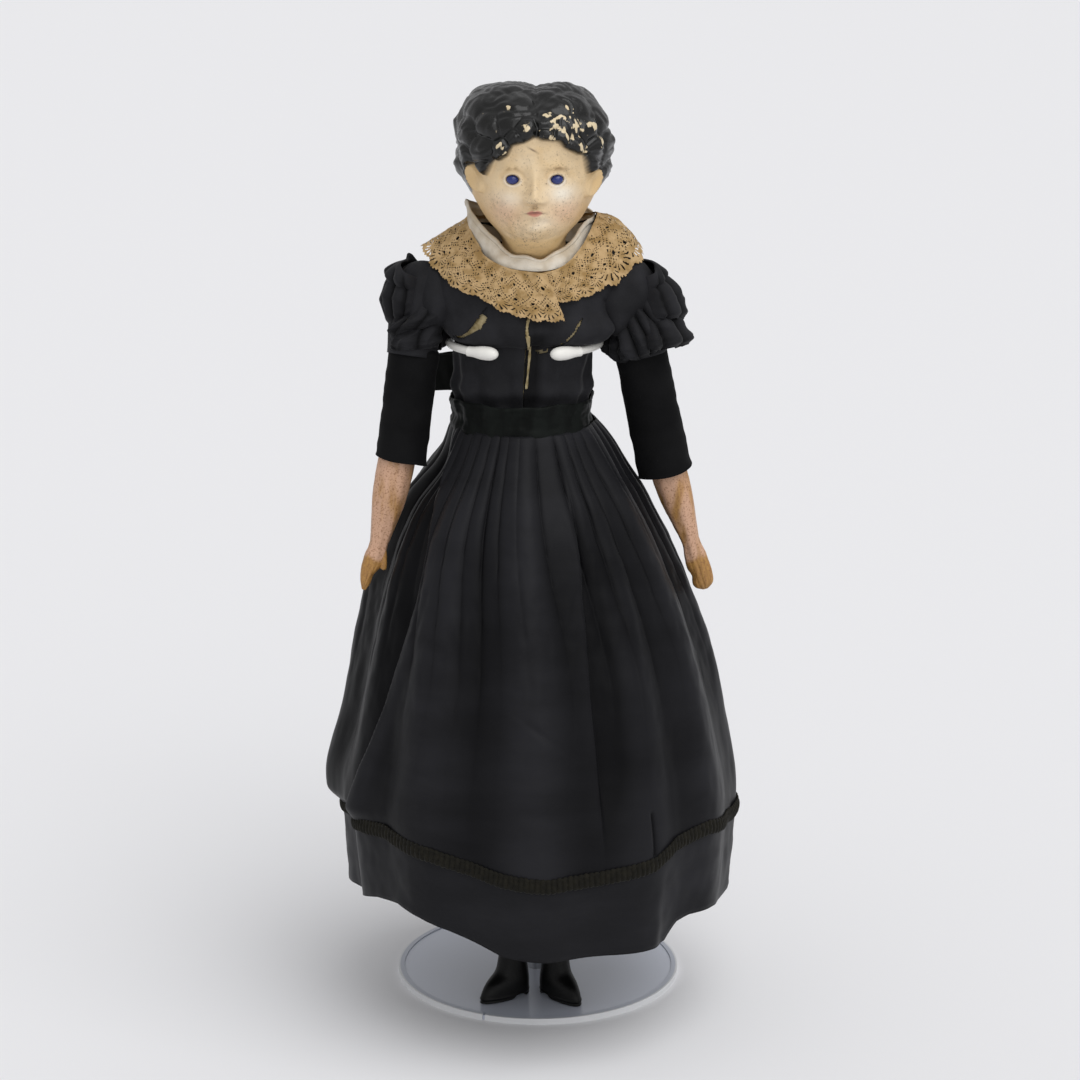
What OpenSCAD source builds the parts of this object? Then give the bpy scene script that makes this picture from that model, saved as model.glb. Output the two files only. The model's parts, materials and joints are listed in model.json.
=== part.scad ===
// Shoulder-head doll in a black silk dress, held by a wire clip on a round stand.
// Millimetres, +Z up. The origin is the centre of the base plate's underside and the doll faces -Y.
// Left and right are the doll's own, so its right side is at -X.

/* [Stand] */
// Radius of the round base over its edge trim
base_r = 75; // [66:1:95]
// Thickness of the base plate
base_t = 2.5; // [2.5:0.5:4]
// Radial thickness of the edge trim
trim_t = 0.8; // [0.6:0.1:1.5]
// How far the trim lips over the top of the plate
trim_lip = 2.4; // [1.5:0.1:4]
// Thickness of the trim's lip
trim_rise = 0.6; // [0.4:0.1:1]
// Gap between the two ends of the trim
trim_gap = 1.4; // [0.6:0.1:4]
// Direction of that gap, measured from the front towards the doll's right
trim_gap_angle = 22; // [-60:1:60]
// Radius of the socket that holds the upright
socket_r = 8.5; // [7:0.5:11]
// Height of the socket
socket_h = 10; // [9:0.5:16]
// Depth of the tube in the socket
socket_depth = 6; // [4:0.5:7]
// Outer radius of the upright tube
tube_r = 4.2; // [3.9:0.1:5]
// Length of the upright tube
tube_l = 180; // [150:1:200]
// Radius of the sliding rod
rod_r = 3; // [2.4:0.1:3.2]
// Clearance of the rod in the tube and in the clip's hub
rod_fit = 0.05; // [0.02:0.01:0.1]
// Length of rod that stays inside the tube at rest
rod_overlap = 95; // [85:1:120]
// Radius of the clamp collar on top of the tube
collar_r = 7.5; // [6.5:0.5:10]
// Height of the clamp collar
collar_h = 12; // [10:1:16]
// Radius of the thumb screw's shank
screw_r = 1.5; // [1:0.1:2]
// Radius of the thumb screw's knurled head
knob_r = 5; // [4:0.5:8]
// Length of the thumb screw's head
knob_l = 6; // [4:0.5:10]
// Radius of the base screw's shank
base_screw_r = 1.6; // [1:0.1:2]

/* [Clip] */
// Height of the clip above the hip seams
clip_h = 80; // [78:0.5:82]
// Radius of the clip's bend to the middle of the wire
clip_bend_r = 37.5; // [37.3:0.1:38.5]
// Radius of the coated wire
wire_r = 2; // [1.2:0.1:2.2]
// Half of the open angle at the front of the clip
clip_open = 22; // [15:1:40]
// Angle that each vinyl tip covers
tip_angle = 22; // [12:1:30]
// Radius of the vinyl tips
tip_r = 3.2; // [2.6:0.1:3.6]
// Radius of the hub that turns on the rod
hub_r = 5.5; // [5:0.1:6]
// Height of the hub
hub_h = 11; // [8:0.5:14]

/* [Body] */
// Distance of the doll's middle in front of the upright
stand_off = 38; // [37.5:0.1:38.5]
// Sideways place of the body on the stand
body_x = -6; // [-7:0.1:-5]
// Sideways place of the hips
hip_x = -3; // [-5:0.1:-1]
// Half width at the hips
hip_w = 33; // [30:0.5:34]
// Half depth at the hips
hip_d = 27; // [24:0.5:29]
// Half width at the waist
waist_w = 28.5; // [26:0.5:29.5]
// Half depth at the waist
waist_d = 23.5; // [21:0.5:25]
// Half width under the arms
rib_w = 30.5; // [28:0.5:30.9]
// Half depth under the arms
rib_d = 26; // [23:0.5:27]
// Half width at the shoulders
shoulder_w = 41.5; // [38:0.5:41.8]
// Half depth at the bust
bust_d = 29; // [26:0.5:31]
// Height of the shoulders above the clip
shoulder_rise = 42; // [40:0.5:44]
// Radius of the stitched roll at each hip
seam_r = 1.5; // [1.2:0.1:1.8]

/* [Head] */
// Sideways place of the head
head_x = -2; // [-4:0.1:0]
// Height of the chin above the shoulders
neck_l = 8.5; // [7.5:0.5:11]
// Height of the head from chin to crown
head_h = 79; // [74:1:84]
// Half width of the face at the temples
face_w = 34; // [31:0.5:35]
// Depth of the face in front of the head's middle
face_d = 39; // [36:0.5:41]
// Depth of the head behind its middle
nape_d = 38; // [35:0.5:40]
// Rise of the moulded hair over the skull
hair_t = 4.5; // [3:0.1:5]
// Half width of the neck
neck_w = 17; // [15:0.5:18]
// Wall of the moulded head and of its shoulder plate
head_wall = 2.4; // [2:0.1:2.6]
// Half of the distance between the eyes
eye_gap = 10.6; // [9.5:0.1:12]
// Height of the eyes above the chin
eye_h = 34.5; // [32:0.5:37]
// Radius of the glass eyes
eye_r = 3.6; // [3:0.1:4]

/* [Arms] */
// Half of the distance between the two shoulder stitches
arm_gap = 51; // [50.8:0.1:53]
// Depth of the shoulder stitches below the shoulders
pivot_drop = 16; // [15:0.5:17]
// Spread of the right upper arm, in degrees
splay_right = 8; // [6:0.5:10]
// Spread of the left upper arm, in degrees
splay_left = 11; // [9:0.5:12]
// Swing of the right arm forward of straight down, in degrees
pitch_right = 10; // [9:0.5:14]
// Swing of the left arm forward of straight down, in degrees
pitch_left = 1; // [0:0.5:6]
// Spread of both forearms, in degrees
forearm_splay = 15.5; // [13:0.5:18]
// Length of the upper arm from the shoulder stitch
upper_arm_l = 70; // [60:1:76]
// Length of the forearm and hand
forearm_l = 85; // [70:1:95]
// Radius of the forearm at its thickest
forearm_r = 9.2; // [7.5:0.1:9.5]
// Radius of the wrist
wrist_r = 4.5; // [3.5:0.1:5.5]
// Half width of the hand
hand_w = 5.2; // [4.5:0.1:6]
// Half thickness of the hand
hand_d = 3.8; // [3:0.1:4.5]
// Length of the thumb
thumb_l = 9; // [7:0.5:11]
// Radius of the shoulder stitches
stitch_r = 1.5; // [1.2:0.1:1.8]
// Clearance of each arm on its stitch and each leg on its seam
joint_fit = 0.08; // [0.04:0.01:0.1]

/* [Legs] */
// Half of the distance between the legs
leg_gap = 11; // [10.5:0.1:13]
// Sideways place of the legs
leg_x = -2; // [-3:0.1:-1]
// Distance of the legs in front of the body's middle
leg_y = 3; // [2:0.5:4]
// Height of the boot soles over the base plate
sole_gap = 0.5; // [0.3:0.1:2]
// Length of the wooden lower leg with its boot
shin_l = 120; // [110:1:124]
// Length of the stuffed thigh
thigh_l = 147; // [146:0.5:150]
// Radius of the thigh at its thickest
thigh_r = 10; // [9:0.1:10.2]
// Radius of the calf
calf_r = 9.2; // [8.4:0.1:9.6]
// Radius of the ankle
ankle_r = 6.3; // [5:0.1:7]
// Half width of the boot
boot_w = 7.6; // [6.5:0.1:8]
// Length of the boot in front of the ankle
boot_toe = 22; // [18:0.5:26]
// Length of the boot behind the ankle
boot_heel = 9; // [8:0.1:10]
// Height of the boot to the narrowest of the ankle
boot_h = 32; // [28:0.5:36]
// Turn-out of the right boot, in degrees
toe_out_right = 48; // [20:1:55]
// Turn-out of the left boot, in degrees
toe_out_left = 34; // [20:1:55]

/* [Dress] */
// Thickness of the bodice cloth
bodice_t = 1.2; // [0.8:0.1:1.3]
// Radius of the sleeves
sleeve_r = 12.3; // [11.5:0.1:12.8]
// Thickness of the sleeve cloth
sleeve_t = 0.8; // [0.5:0.1:1.2]
// Length of the sleeves from the shoulder stitch
sleeve_l = 89; // [80:1:98]
// Reach of the gathered puffs from the arm's middle
puff_r = 17.2; // [15.5:0.1:17.4]
// Length of the puffs below the shoulder stitch
puff_l = 33; // [28:1:40]
// How much further out the left puff stands than the right one
puff_full = 7; // [0:0.5:9]
// Half of the opening at the bodice's centre front, in degrees
front_gap = 1.6; // [0.8:0.1:4]
// Thickness of the lace
lace_t = 0.8; // [0.5:0.1:1]
// Thickness of the neck band
band_t = 1.2; // [0.8:0.1:1.5]
// Rise of the neck band at the back
band_rise = 18; // [10:1:20]
// Half width of the waistband
ribbon_w = 35.2; // [34.9:0.1:38]
// Half depth of the waistband
ribbon_d = 42; // [41.5:0.1:44]
// Height of the waistband
ribbon_h = 12.5; // [10:0.5:16]
// Thickness of the waistband
ribbon_t = 1.2; // [0.8:0.1:1.5]
// Height of the waistband's top above the hip seams
ribbon_top = 52.5; // [51:0.5:54]
// Length of the bow's loop at the doll's right
bow_l = 44; // [30:1:48]
// Length of the bow's loop at the doll's left, which the body hides from the front
bow_short = 29; // [24:1:44]
// Height of the bow's loops
bow_h = 19; // [14:1:24]

/* [Skirt] */
// Height of the hem above the base's underside
hem_z = 62; // [40:1:80]
// Radius of the skirt at its widest
skirt_r = 104; // [95:1:112]
// How far the hem draws in from the skirt's edge
hem_pull = 3; // [0:0.5:10]
// Height of the hem band
hem_band_h = 39; // [24:1:40]
// How much higher the hem hangs at the sides than in front and behind
hem_lift = 14; // [0:1:20]
// Thickness of the skirt cloth
skirt_t = 1.4; // [1:0.1:1.8]
// Number of main folds
folds = 12; // [10:1:14]
// Depth of the main folds half way down
fold_d = 3; // [1:0.1:4]
// Half height of the ruched braid
braid_r = 2.6; // [2:0.1:3.5]

/* [Hidden] */
$fn = 48;

// Gaps that keep soft pieces off each other, between curved layers, and beside a swinging arm
gap = 0.3;
layer = 0.6;
shoulder_room = 1.5;
body_y = -stand_off;
sole_z = base_t + sole_gap;
hip_z = sole_z + shin_l + thigh_l;
clip_z = hip_z + clip_h;
shoulder_z = clip_z + shoulder_rise;
pivot_z = shoulder_z - pivot_drop;
chin_z = shoulder_z + neck_l;

// Upright
tube_bore = rod_r + rod_fit;
tube_z = base_t + socket_h - socket_depth;
tube_top = tube_z + tube_l;
collar_z = tube_top - collar_h;
hub_z = clip_z - hub_h / 2;
rod_bottom = tube_top - rod_overlap;
rod_top = hub_z + hub_h;
stop_h = 2;
base_screw_head = base_screw_r * 2;
base_screw_sink = base_screw_head - base_screw_r;

// Layers over the torso: plate, bodice, lace
plate_in = layer;
plate_out = plate_in + head_wall;
bodice_in = plate_out + layer;
bodice_out = bodice_in + bodice_t;
lace_in = bodice_out + layer;
lace_out = lace_in + lace_t;

// Torso rows from the hips up: height, half width, half depth, middle in X
waist_x = body_x - 2;
clip_x = body_x - 0.5;
torso_rows = [
    [hip_z + seam_r, hip_w * 0.9, hip_d * 0.85, hip_x],
    [hip_z + 20, hip_w, hip_d, (hip_x + waist_x) / 2],
    [hip_z + 48, waist_w, waist_d, waist_x],
    [clip_z + shoulder_rise * 0.107, rib_w, rib_d, clip_x],
    [clip_z + shoulder_rise * 0.25, shoulder_w - 6, bust_d - 0.5, body_x],
    [clip_z + shoulder_rise * 0.405, shoulder_w - 3, bust_d, body_x],
    [clip_z + shoulder_rise * 0.667, shoulder_w, bust_d - 2, body_x],
    [clip_z + shoulder_rise * 0.881, shoulder_w - 3, bust_d - 7, body_x + 1],
    [shoulder_z, shoulder_w - 12, bust_d - 10, body_x + 2],
    [shoulder_z + 2, neck_w + 2, neck_w - 1, head_x]
];
torso_last = len(torso_rows) - 1;
neck_row = torso_last - 0.25;

// Shoulder cut: nothing of an arm comes nearer to the body than this plane inside this radius
cut_x = arm_gap - shoulder_w - bodice_out - shoulder_room;
cut_r = 24;

// Waistband and skirt
waist_y = body_y + 3.6;
ribbon_z = hip_z + ribbon_top - ribbon_h;
skirt_top = ribbon_z - 0.05;
braid_z = hem_z + hem_band_h;
skirt_l = skirt_top - braid_z;
hem_x = 1;
hem_y = body_y - 1;

function mix(a, b, t) = a + (b - a) * t;
function ease(t) = let (c = min(max(t, 0), 1)) c * c * (3 - 2 * c);
function bump(d, w) = exp(-(d / w) * (d / w));

// Smooth curve through the rows of a table, read by row number
function row_at(rows, v) =
    let (n = len(rows) - 1, i = max(min(floor(v), n - 1), 0), t = v - i)
    let (a = rows[max(i - 1, 0)], b = rows[i], c = rows[i + 1], d = rows[min(i + 2, n)])
    0.5 * (2 * b + (c - a) * t + (2 * a - 5 * b + 4 * c - d) * t * t
        + (3 * b - a - 3 * c + d) * t * t * t);

// Point on the torso at row v and angle a, lifted off it along the surface's own normal
function torso_at(a, v) =
    let (r = row_at(torso_rows, v)) [r[3] + r[1] * cos(a), body_y + r[2] * sin(a), r[0]];
function torso_normal(a, v) =
    let (n = cross(torso_at(a + 1, v) - torso_at(a - 1, v), torso_at(a, v + 0.02) - torso_at(a, v - 0.02)))
    n / norm(n);
function torso_off(a, v, lift) = torso_at(a, v) + lift * torso_normal(a, v);

// Closed skin between two surfaces, p(u, v, side), side 1 outside; wraps in u or ends in two flat edges
module skin(p, nu, nv, wrap = true) {
    cols = wrap ? nu : nu + 1;
    points = [for (side = [1, 0]) for (j = [0:nv]) for (i = [0:cols - 1]) p(i / nu, j / nv, side)];
    function at(side, j, i) = ((1 - side) * (nv + 1) + j) * cols + i % cols;
    function quad(a, b, c, d) = [[a, b, c], [a, c, d]];
    outer = [for (j = [0:nv - 1]) for (i = [0:nu - 1])
        each quad(at(1, j, i), at(1, j + 1, i), at(1, j + 1, i + 1), at(1, j, i + 1))];
    inner = [for (j = [0:nv - 1]) for (i = [0:nu - 1])
        each quad(at(0, j, i), at(0, j, i + 1), at(0, j + 1, i + 1), at(0, j + 1, i))];
    low = [for (i = [0:nu - 1]) each quad(at(1, 0, i), at(1, 0, i + 1), at(0, 0, i + 1), at(0, 0, i))];
    high = [for (i = [0:nu - 1])
        each quad(at(1, nv, i + 1), at(1, nv, i), at(0, nv, i), at(0, nv, i + 1))];
    first = [for (j = [0:nv - 1]) each quad(at(1, j + 1, 0), at(1, j, 0), at(0, j, 0), at(0, j + 1, 0))];
    last = [for (j = [0:nv - 1])
        each quad(at(1, j, nu), at(1, j + 1, nu), at(0, j + 1, nu), at(0, j, nu))];
    edges = wrap ? [] : concat(first, last);
    polyhedron(points, concat(outer, inner, low, high, edges), convexity = 8);
}

// Solid through a stack of closed rings p(u, v), capped flat at both ends
module solid(p, nu, nv) {
    rings = [for (j = [0:nv]) for (i = [0:nu - 1]) p(i / nu, j / nv)];
    function at(j, i) = j * nu + i % nu;
    sides = [for (j = [0:nv - 1]) for (i = [0:nu - 1])
        each [[at(j, i), at(j + 1, i), at(j + 1, i + 1)], [at(j, i), at(j + 1, i + 1), at(j, i + 1)]]];
    bottom = [[for (i = [0:nu - 1]) at(0, i)]];
    top = [[for (i = [nu - 1:-1:0]) at(nv, i)]];
    polyhedron(rings, concat(sides, bottom, top), convexity = 8);
}

// Shell closed over its top: rows p(u, v, side) from the rim up to one pole on each side
module dome(p, nu, outer_rows, inner_rows) {
    outer = [for (j = [0:outer_rows - 1]) for (i = [0:nu - 1]) p(i / nu, j / outer_rows, 1)];
    inner = [for (j = [0:inner_rows - 1]) for (i = [0:nu - 1]) p(i / nu, j / inner_rows, 0)];
    poles = [p(0, 1, 1), p(0, 1, 0)];
    n1 = nu * outer_rows;
    n2 = n1 + nu * inner_rows;
    function at(j, i) = j * nu + i % nu;
    function into(j, i) = n1 + j * nu + i % nu;
    function quad(a, b, c, d) = [[a, b, c], [a, c, d]];
    out_faces = [for (j = [0:outer_rows - 2]) for (i = [0:nu - 1])
        each quad(at(j, i), at(j + 1, i), at(j + 1, i + 1), at(j, i + 1))];
    in_faces = [for (j = [0:inner_rows - 2]) for (i = [0:nu - 1])
        each quad(into(j, i), into(j, i + 1), into(j + 1, i + 1), into(j + 1, i))];
    out_cap = [for (i = [0:nu - 1]) [at(outer_rows - 1, i), n2, at(outer_rows - 1, i + 1)]];
    in_cap = [for (i = [0:nu - 1]) [into(inner_rows - 1, i), into(inner_rows - 1, i + 1), n2 + 1]];
    rim = [for (i = [0:nu - 1]) each quad(at(0, i), at(0, i + 1), into(0, i + 1), into(0, i))];
    polyhedron(concat(outer, inner, poles), concat(out_faces, in_faces, out_cap, in_cap, rim),
        convexity = 8);
}

// Base plate with the countersink of its screw underneath
module stand_base() {
    color("#c9d2db")
    difference() {
        cylinder(r = base_r - trim_t, h = base_t, $fn = 128);
        translate([0, 0, -1])
        cylinder(r = base_screw_r, h = base_t + 2);
        translate([0, 0, -0.01])
        cylinder(r1 = base_screw_head, r2 = base_screw_r, h = base_screw_sink);
    }
}

// Split edging: a thin ring with a lip over the plate, open at the front
module base_edge_trim() {
    half = asin(trim_gap / 2 / base_r);
    color("#f4f4f2")
    rotate([0, 0, -90 - trim_gap_angle + half])
    rotate_extrude(angle = 360 - 2 * half, $fn = 128)
    polygon([
        [base_r - trim_t, 0], [base_r, 0], [base_r, base_t + trim_rise],
        [base_r - trim_t - trim_lip, base_t + trim_rise], [base_r - trim_t - trim_lip, base_t],
        [base_r - trim_t, base_t]
    ]);
}

// Countersunk screw up through the plate into the socket
module base_screw() {
    color("#8d9196")
    rotate_extrude()
    polygon([
        [0, 0.2], [base_screw_head - 0.3, 0.2], [base_screw_r - 0.1, base_screw_sink],
        [base_screw_r - 0.1, base_t + 2.4], [0, base_t + 2.4]
    ]);
}

// Socket on the plate, bored for the tube from above and for the screw from below
module post_socket() {
    color("#c2c6ca")
    translate([0, 0, base_t])
    difference() {
        cylinder(r = socket_r, h = socket_h);
        translate([0, 0, socket_h - socket_depth])
        cylinder(r = tube_r, h = socket_depth + 1);
        translate([0, 0, -1])
        cylinder(r = base_screw_r - 0.1, h = 3.6);
    }
}

// Upright tube, with the screw's hole through its wall near the top
module stand_tube() {
    color("#c2c6ca")
    difference() {
        translate([0, 0, tube_z])
        cylinder(r = tube_r, h = tube_l);
        translate([0, 0, tube_z - 1])
        cylinder(r = tube_bore, h = tube_l + 2);
        translate([0, 0, collar_z + collar_h / 2])
        rotate([-90, 0, 0])
        cylinder(r = screw_r + rod_fit, h = collar_r + 1);
    }
}

// Collar round the tube's top, tapped for the thumb screw at the back
module lock_collar() {
    color("#c2c6ca")
    difference() {
        translate([0, 0, collar_z])
        cylinder(r = collar_r, h = collar_h);
        translate([0, 0, collar_z - 1])
        cylinder(r = tube_r, h = collar_h + 2);
        translate([0, 0, collar_z + collar_h / 2])
        rotate([-90, 0, 0])
        cylinder(r = screw_r + rod_fit, h = collar_r + 1);
    }
}

// Thumb screw that presses on the rod, with a fluted head
module thumb_screw() {
    color("#b9bdc1")
    translate([0, 0, collar_z + collar_h / 2])
    rotate([-90, 0, 0]) {
        translate([0, 0, rod_r + gap])
        cylinder(r = screw_r, h = collar_r - rod_r + 0.5);
        translate([0, 0, collar_r + gap])
        difference() {
            cylinder(r = knob_r, h = knob_l);
            for (i = [0:11])
                rotate([0, 0, i * 30])
                translate([knob_r + 0.3, 0, -1])
                cylinder(r = 0.8, h = knob_l + 2, $fn = 16);
        }
    }
}

// Sliding rod, with the stop that the clip's hub turns on
module stand_rod() {
    color("#c2c6ca") {
        translate([0, 0, rod_bottom])
        cylinder(r = rod_r, h = rod_top + 1 - rod_bottom);
        translate([0, 0, hub_z - stop_h - rod_fit])
        cylinder(r = rod_r + 1.5, h = stop_h);
    }
}

// Domed cap pressed on the rod's end, which keeps the hub on
module rod_cap() {
    color("#f4f4f2")
    translate([0, 0, rod_top + rod_fit])
    difference() {
        rotate_extrude()
        polygon([[0, 0], [hub_r - 0.6, 0], [hub_r - 0.8, 1.6], [hub_r - 2.4, 2.8], [0, 3.2]]);
        translate([0, 0, -1])
        cylinder(r = rod_r, h = 2 - rod_fit);
    }
}

// Depth of the clip's middle, and the direction from it to the rod
clip_y = -sqrt(clip_bend_r * clip_bend_r - clip_x * clip_x);
hub_angle = atan2(-clip_y, -clip_x);

// Arc of round bar in the clip's plane
module clip_arc(r, from, to) {
    translate([clip_x, clip_y, clip_z])
    rotate([0, 0, from])
    rotate_extrude(angle = to - from, $fn = 96)
    translate([clip_bend_r, 0])
    circle(r = r);
}

// Hub that turns on the rod, drilled through for the wire's two ends
module clip_bracket() {
    reach = 10;
    color("#f4f4f2")
    difference() {
        union() {
            translate([0, 0, hub_z])
            cylinder(r = hub_r, h = hub_h);
            clip_arc(wire_r + 1.2, hub_angle - reach, hub_angle + reach);
        }
        translate([0, 0, hub_z - 1])
        cylinder(r = rod_r + rod_fit, h = hub_h + 2);
        clip_arc(wire_r, hub_angle - reach - 1, hub_angle - 6.5);
        clip_arc(wire_r, hub_angle + 6.5, hub_angle + reach + 1);
    }
}

// Two white coated wires that spring round the ribs from the hub
module clip_wire() {
    color("#f6f6f4") {
        clip_arc(wire_r, hub_angle + 6.5, 270 - clip_open);
        clip_arc(wire_r, -90 + clip_open, hub_angle - 6.5);
    }
}

// Vinyl tip over one end of the wire; side is 1 for the doll's left
module clip_tip(side) {
    end = -90 + side * clip_open;
    in = end + side * tip_angle;
    stop = end - side * 1.5;
    color("#ededea")
    difference() {
        clip_arc(tip_r, min(stop, in), max(stop, in));
        clip_arc(wire_r, min(end, in + side), max(end, in + side));
    }
}

module clip_tip_right() {
    clip_tip(-1);
}

module clip_tip_left() {
    clip_tip(1);
}

// Place of one shoulder stitch, turned so that local X is its axis and the arm hangs along local -Z
module at_shoulder(side) {
    splay = side > 0 ? splay_left : splay_right;
    pitch = side > 0 ? pitch_left : pitch_right;
    translate([body_x + side * arm_gap, body_y, pivot_z])
    rotate([0, -side * splay, 0])
    rotate([-pitch, 0, 0])
    mirror([side > 0 ? 0 : 1, 0, 0])
    children();
}

// Space round the stitch that an arm leaves free for the body
module shoulder_space() {
    translate([-cut_x - 40, 0, 0])
    rotate([0, 90, 0])
    cylinder(r = cut_r, h = 40);
}

// Stuffed body: swells at hips and bust, cut in at the waist
module torso() {
    color("#d8cbb0")
    difference() {
        solid(function(u, v) torso_at(u * 360, v * torso_last), 28, 15);
        for (side = [-1, 1])
            at_shoulder(side)
            translate([-16, 0, 0])
            rotate([0, 90, 0])
            cylinder(r = stitch_r, h = 30);
    }
}

// Cord stitched through the side of the body into the arm
module shoulder_stitch(side) {
    color("#b9ac90")
    at_shoulder(side)
    translate([-16, 0, 0])
    rotate([0, 90, 0])
    cylinder(r = stitch_r, h = 22);
}

module shoulder_stitch_right() {
    shoulder_stitch(-1);
}

module shoulder_stitch_left() {
    shoulder_stitch(1);
}

// Head rows from the neck to the crown: height over the chin, half width, front and back depth
temple_h = 50;
crown_h = head_h - hair_t - temple_h;
head_rows = concat([
    [-5, neck_w, 16, 17],
    [-1, neck_w - 0.5, 17, 19],
    [1.2, neck_w + 3, face_d - 12, 23],
    [4.5, face_w - 11, face_d - 5.5, 26],
    [12, face_w - 6, face_d - 2.5, nape_d - 8],
    [20, face_w - 3, face_d - 1, nape_d - 4],
    [28, face_w - 1, face_d, nape_d - 1],
    [36, face_w, face_d, nape_d],
    [45, face_w + 0.5, face_d, nape_d + 1]
], [for (t = [5, 25, 45, 62, 78, 90])
    [temple_h + crown_h * sin(t), (face_w + 0.5) * cos(t), face_d * cos(t), (nape_d + 1) * cos(t)]
]);
head_last = len(head_rows) - 1;
skull_wall = 3.4;

// Hairline height over the chin by the angle from the front
function hairline(t) =
    lookup(t, [[0, 55], [20, 53], [40, 45], [55, 38], [74, 41], [92, 30], [112, 20], [180, 19]]);

// Depth of the face's features at a place across and up the face
function face_relief(x, h) =
    5.5 * bump(x, 4) * ease((h - 21.5) / 3) * ease((42 - h) / 17)
    + 1.4 * bump(x, 7) * bump(h - 18.5, 3)
    + 2.4 * bump(x, 9) * bump(h - 6, 5)
    - 1.8 * (bump(x - eye_gap, 6) + bump(x + eye_gap, 6)) * bump(h - eye_h, 4.5)
    + 1.2 * (bump(x - 17, 9) + bump(x + 17, 9)) * bump(h - 23, 8);

// Point of the head's outside (side 1) or of its hollow (side 0)
function skull_at(a, v, side) =
    let (
        r = row_at(head_rows, v),
        h = r[0],
        t = abs(a + 90) > 180 ? 360 - abs(a + 90) : abs(a + 90),
        over = ease((h - hairline(t)) / 3),
        curl = 1.1 * cos(t * 9) * sin(h * 11) * ease((head_h - 8 - h) / 14),
        ear = 3.2 * bump(t - 82, 6) * bump(h - 31, 7),
        lift = side > 0 ? over * (hair_t + curl) + ear : -skull_wall,
        out = h > temple_h ? min(max(r[1], 0) / face_w, 1) : 1,
        face = side * (1 - over) * max(-sin(a), 0) * face_relief(r[1] * cos(a), h),
        wide = max(r[1] + lift * out, 0),
        deep = max((sin(a) < 0 ? r[2] : r[3]) + lift * out, 0) + face
    )
    [
        head_x + wide * cos(a), body_y + deep * sin(a),
        chin_z + h + lift * sqrt(max(1 - out * out, 0))
    ];

// Lower edge of the shoulder plate: deep at front and back, cut away for the arms
function plate_row(a) = 4.9 + 2.5 * pow(abs(cos(a)), 4);

// Whole head: plate rows first, then the neck and the head up to the crown
function head_at(a, w, side) =
    let (plate = side > 0 ? 0.22 : 0.4)
    w < plate
        ? torso_off(a, mix(plate_row(a), neck_row, w / plate), side > 0 ? plate_out : plate_in)
        : skull_at(a, mix(0, head_last, (w - plate) / (1 - plate)), side);

// Angle of column u, closer together across the face
function head_angle(u) = let (t = (u - 0.5) * 360) -90 + t - 26 * sin(t);

// Hollow moulded head with hair, neck and shoulder plate; round sockets for the eyes
module head_shell() {
    color("#e6d7ae")
    difference() {
        dome(function(u, w, side) head_at(head_angle(u), w, side), 44, 36, 20);
        for (side = [-1, 1])
            eye_place(side)
            translate([0, 0, -8])
            cylinder(r = eye_r, h = 20);
    }
}

// Axis of one eye, pointing out of the face along local Z
module eye_place(side) {
    translate([head_x + side * eye_gap, body_y - face_d + 5, chin_z + eye_h])
    rotate([90, 0, 0])
    children();
}

// Domed glass button in its socket
module eye(side) {
    color("#1f4fb0")
    eye_place(side)
    rotate_extrude()
    polygon([[0, -1], [eye_r, -1], [eye_r, 2], [eye_r * 0.7, 3], [eye_r * 0.3, 3.5], [0, 3.6]]);
}

module eye_right() {
    eye(-1);
}

module eye_left() {
    eye(1);
}

arm_r = sleeve_r - sleeve_t - gap;
stub_r = arm_r - 2.2;
cuff_r = arm_r - 1.5;
stub_l = 10;

// Stuffed upper arm with a bore for its stitch and a socket for the wooden forearm
module upper_arm(side) {
    color("#d8cbb0")
    at_shoulder(side)
    difference() {
        rotate_extrude()
        polygon([
            [0, arm_r], [arm_r * 0.5, arm_r * 0.87], [arm_r * 0.85, arm_r * 0.5], [arm_r, 0],
            [arm_r - 0.4, -upper_arm_l * 0.25], [arm_r, -upper_arm_l * 0.5],
            [arm_r - 0.3, -upper_arm_l + 14], [cuff_r, -upper_arm_l + 9], [cuff_r, -upper_arm_l],
            [0, -upper_arm_l]
        ]);
        shoulder_space();
        translate([-20, 0, 0])
        rotate([0, 90, 0])
        cylinder(r = stitch_r + joint_fit, h = 26.5);
        translate([0, 0, -upper_arm_l - 1])
        cylinder(r = stub_r, h = stub_l + 1);
    }
}

module upper_arm_right() {
    upper_arm(-1);
}

module upper_arm_left() {
    upper_arm(1);
}

// Thread wound round the cuff of the cloth arm
module arm_binding(side) {
    color("#b9ac90")
    at_shoulder(side)
    for (z = [-2, 0])
        translate([0, 0, -upper_arm_l + 5 + z])
        rotate_extrude()
        translate([cuff_r + 0.6, 0])
        circle(r = 0.6, $fn = 24);
}

module arm_binding_right() {
    arm_binding(-1);
}

module arm_binding_left() {
    arm_binding(1);
}

// Forearm rows from the elbow to the fingertips: distance, half width, half thickness
forearm_rows = [
    [0, forearm_r - 0.4, forearm_r - 0.4],
    [forearm_l * 0.2, forearm_r, forearm_r],
    [forearm_l * 0.42, forearm_r - 0.8, forearm_r - 0.8],
    [forearm_l * 0.6, wrist_r + 1.4, wrist_r + 1.2],
    [forearm_l * 0.72, wrist_r, wrist_r - 0.3],
    [forearm_l * 0.8, hand_w, hand_d],
    [forearm_l * 0.9, hand_w - 0.2, hand_d - 0.3],
    [forearm_l * 0.97, hand_w - 1.2, hand_d - 1],
    [forearm_l, 1.2, 0.8]
];

function forearm_at(a, v) =
    let (r = row_at(forearm_rows, v)) [r[1] * cos(a), r[2] * sin(a), -r[0]];

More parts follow.
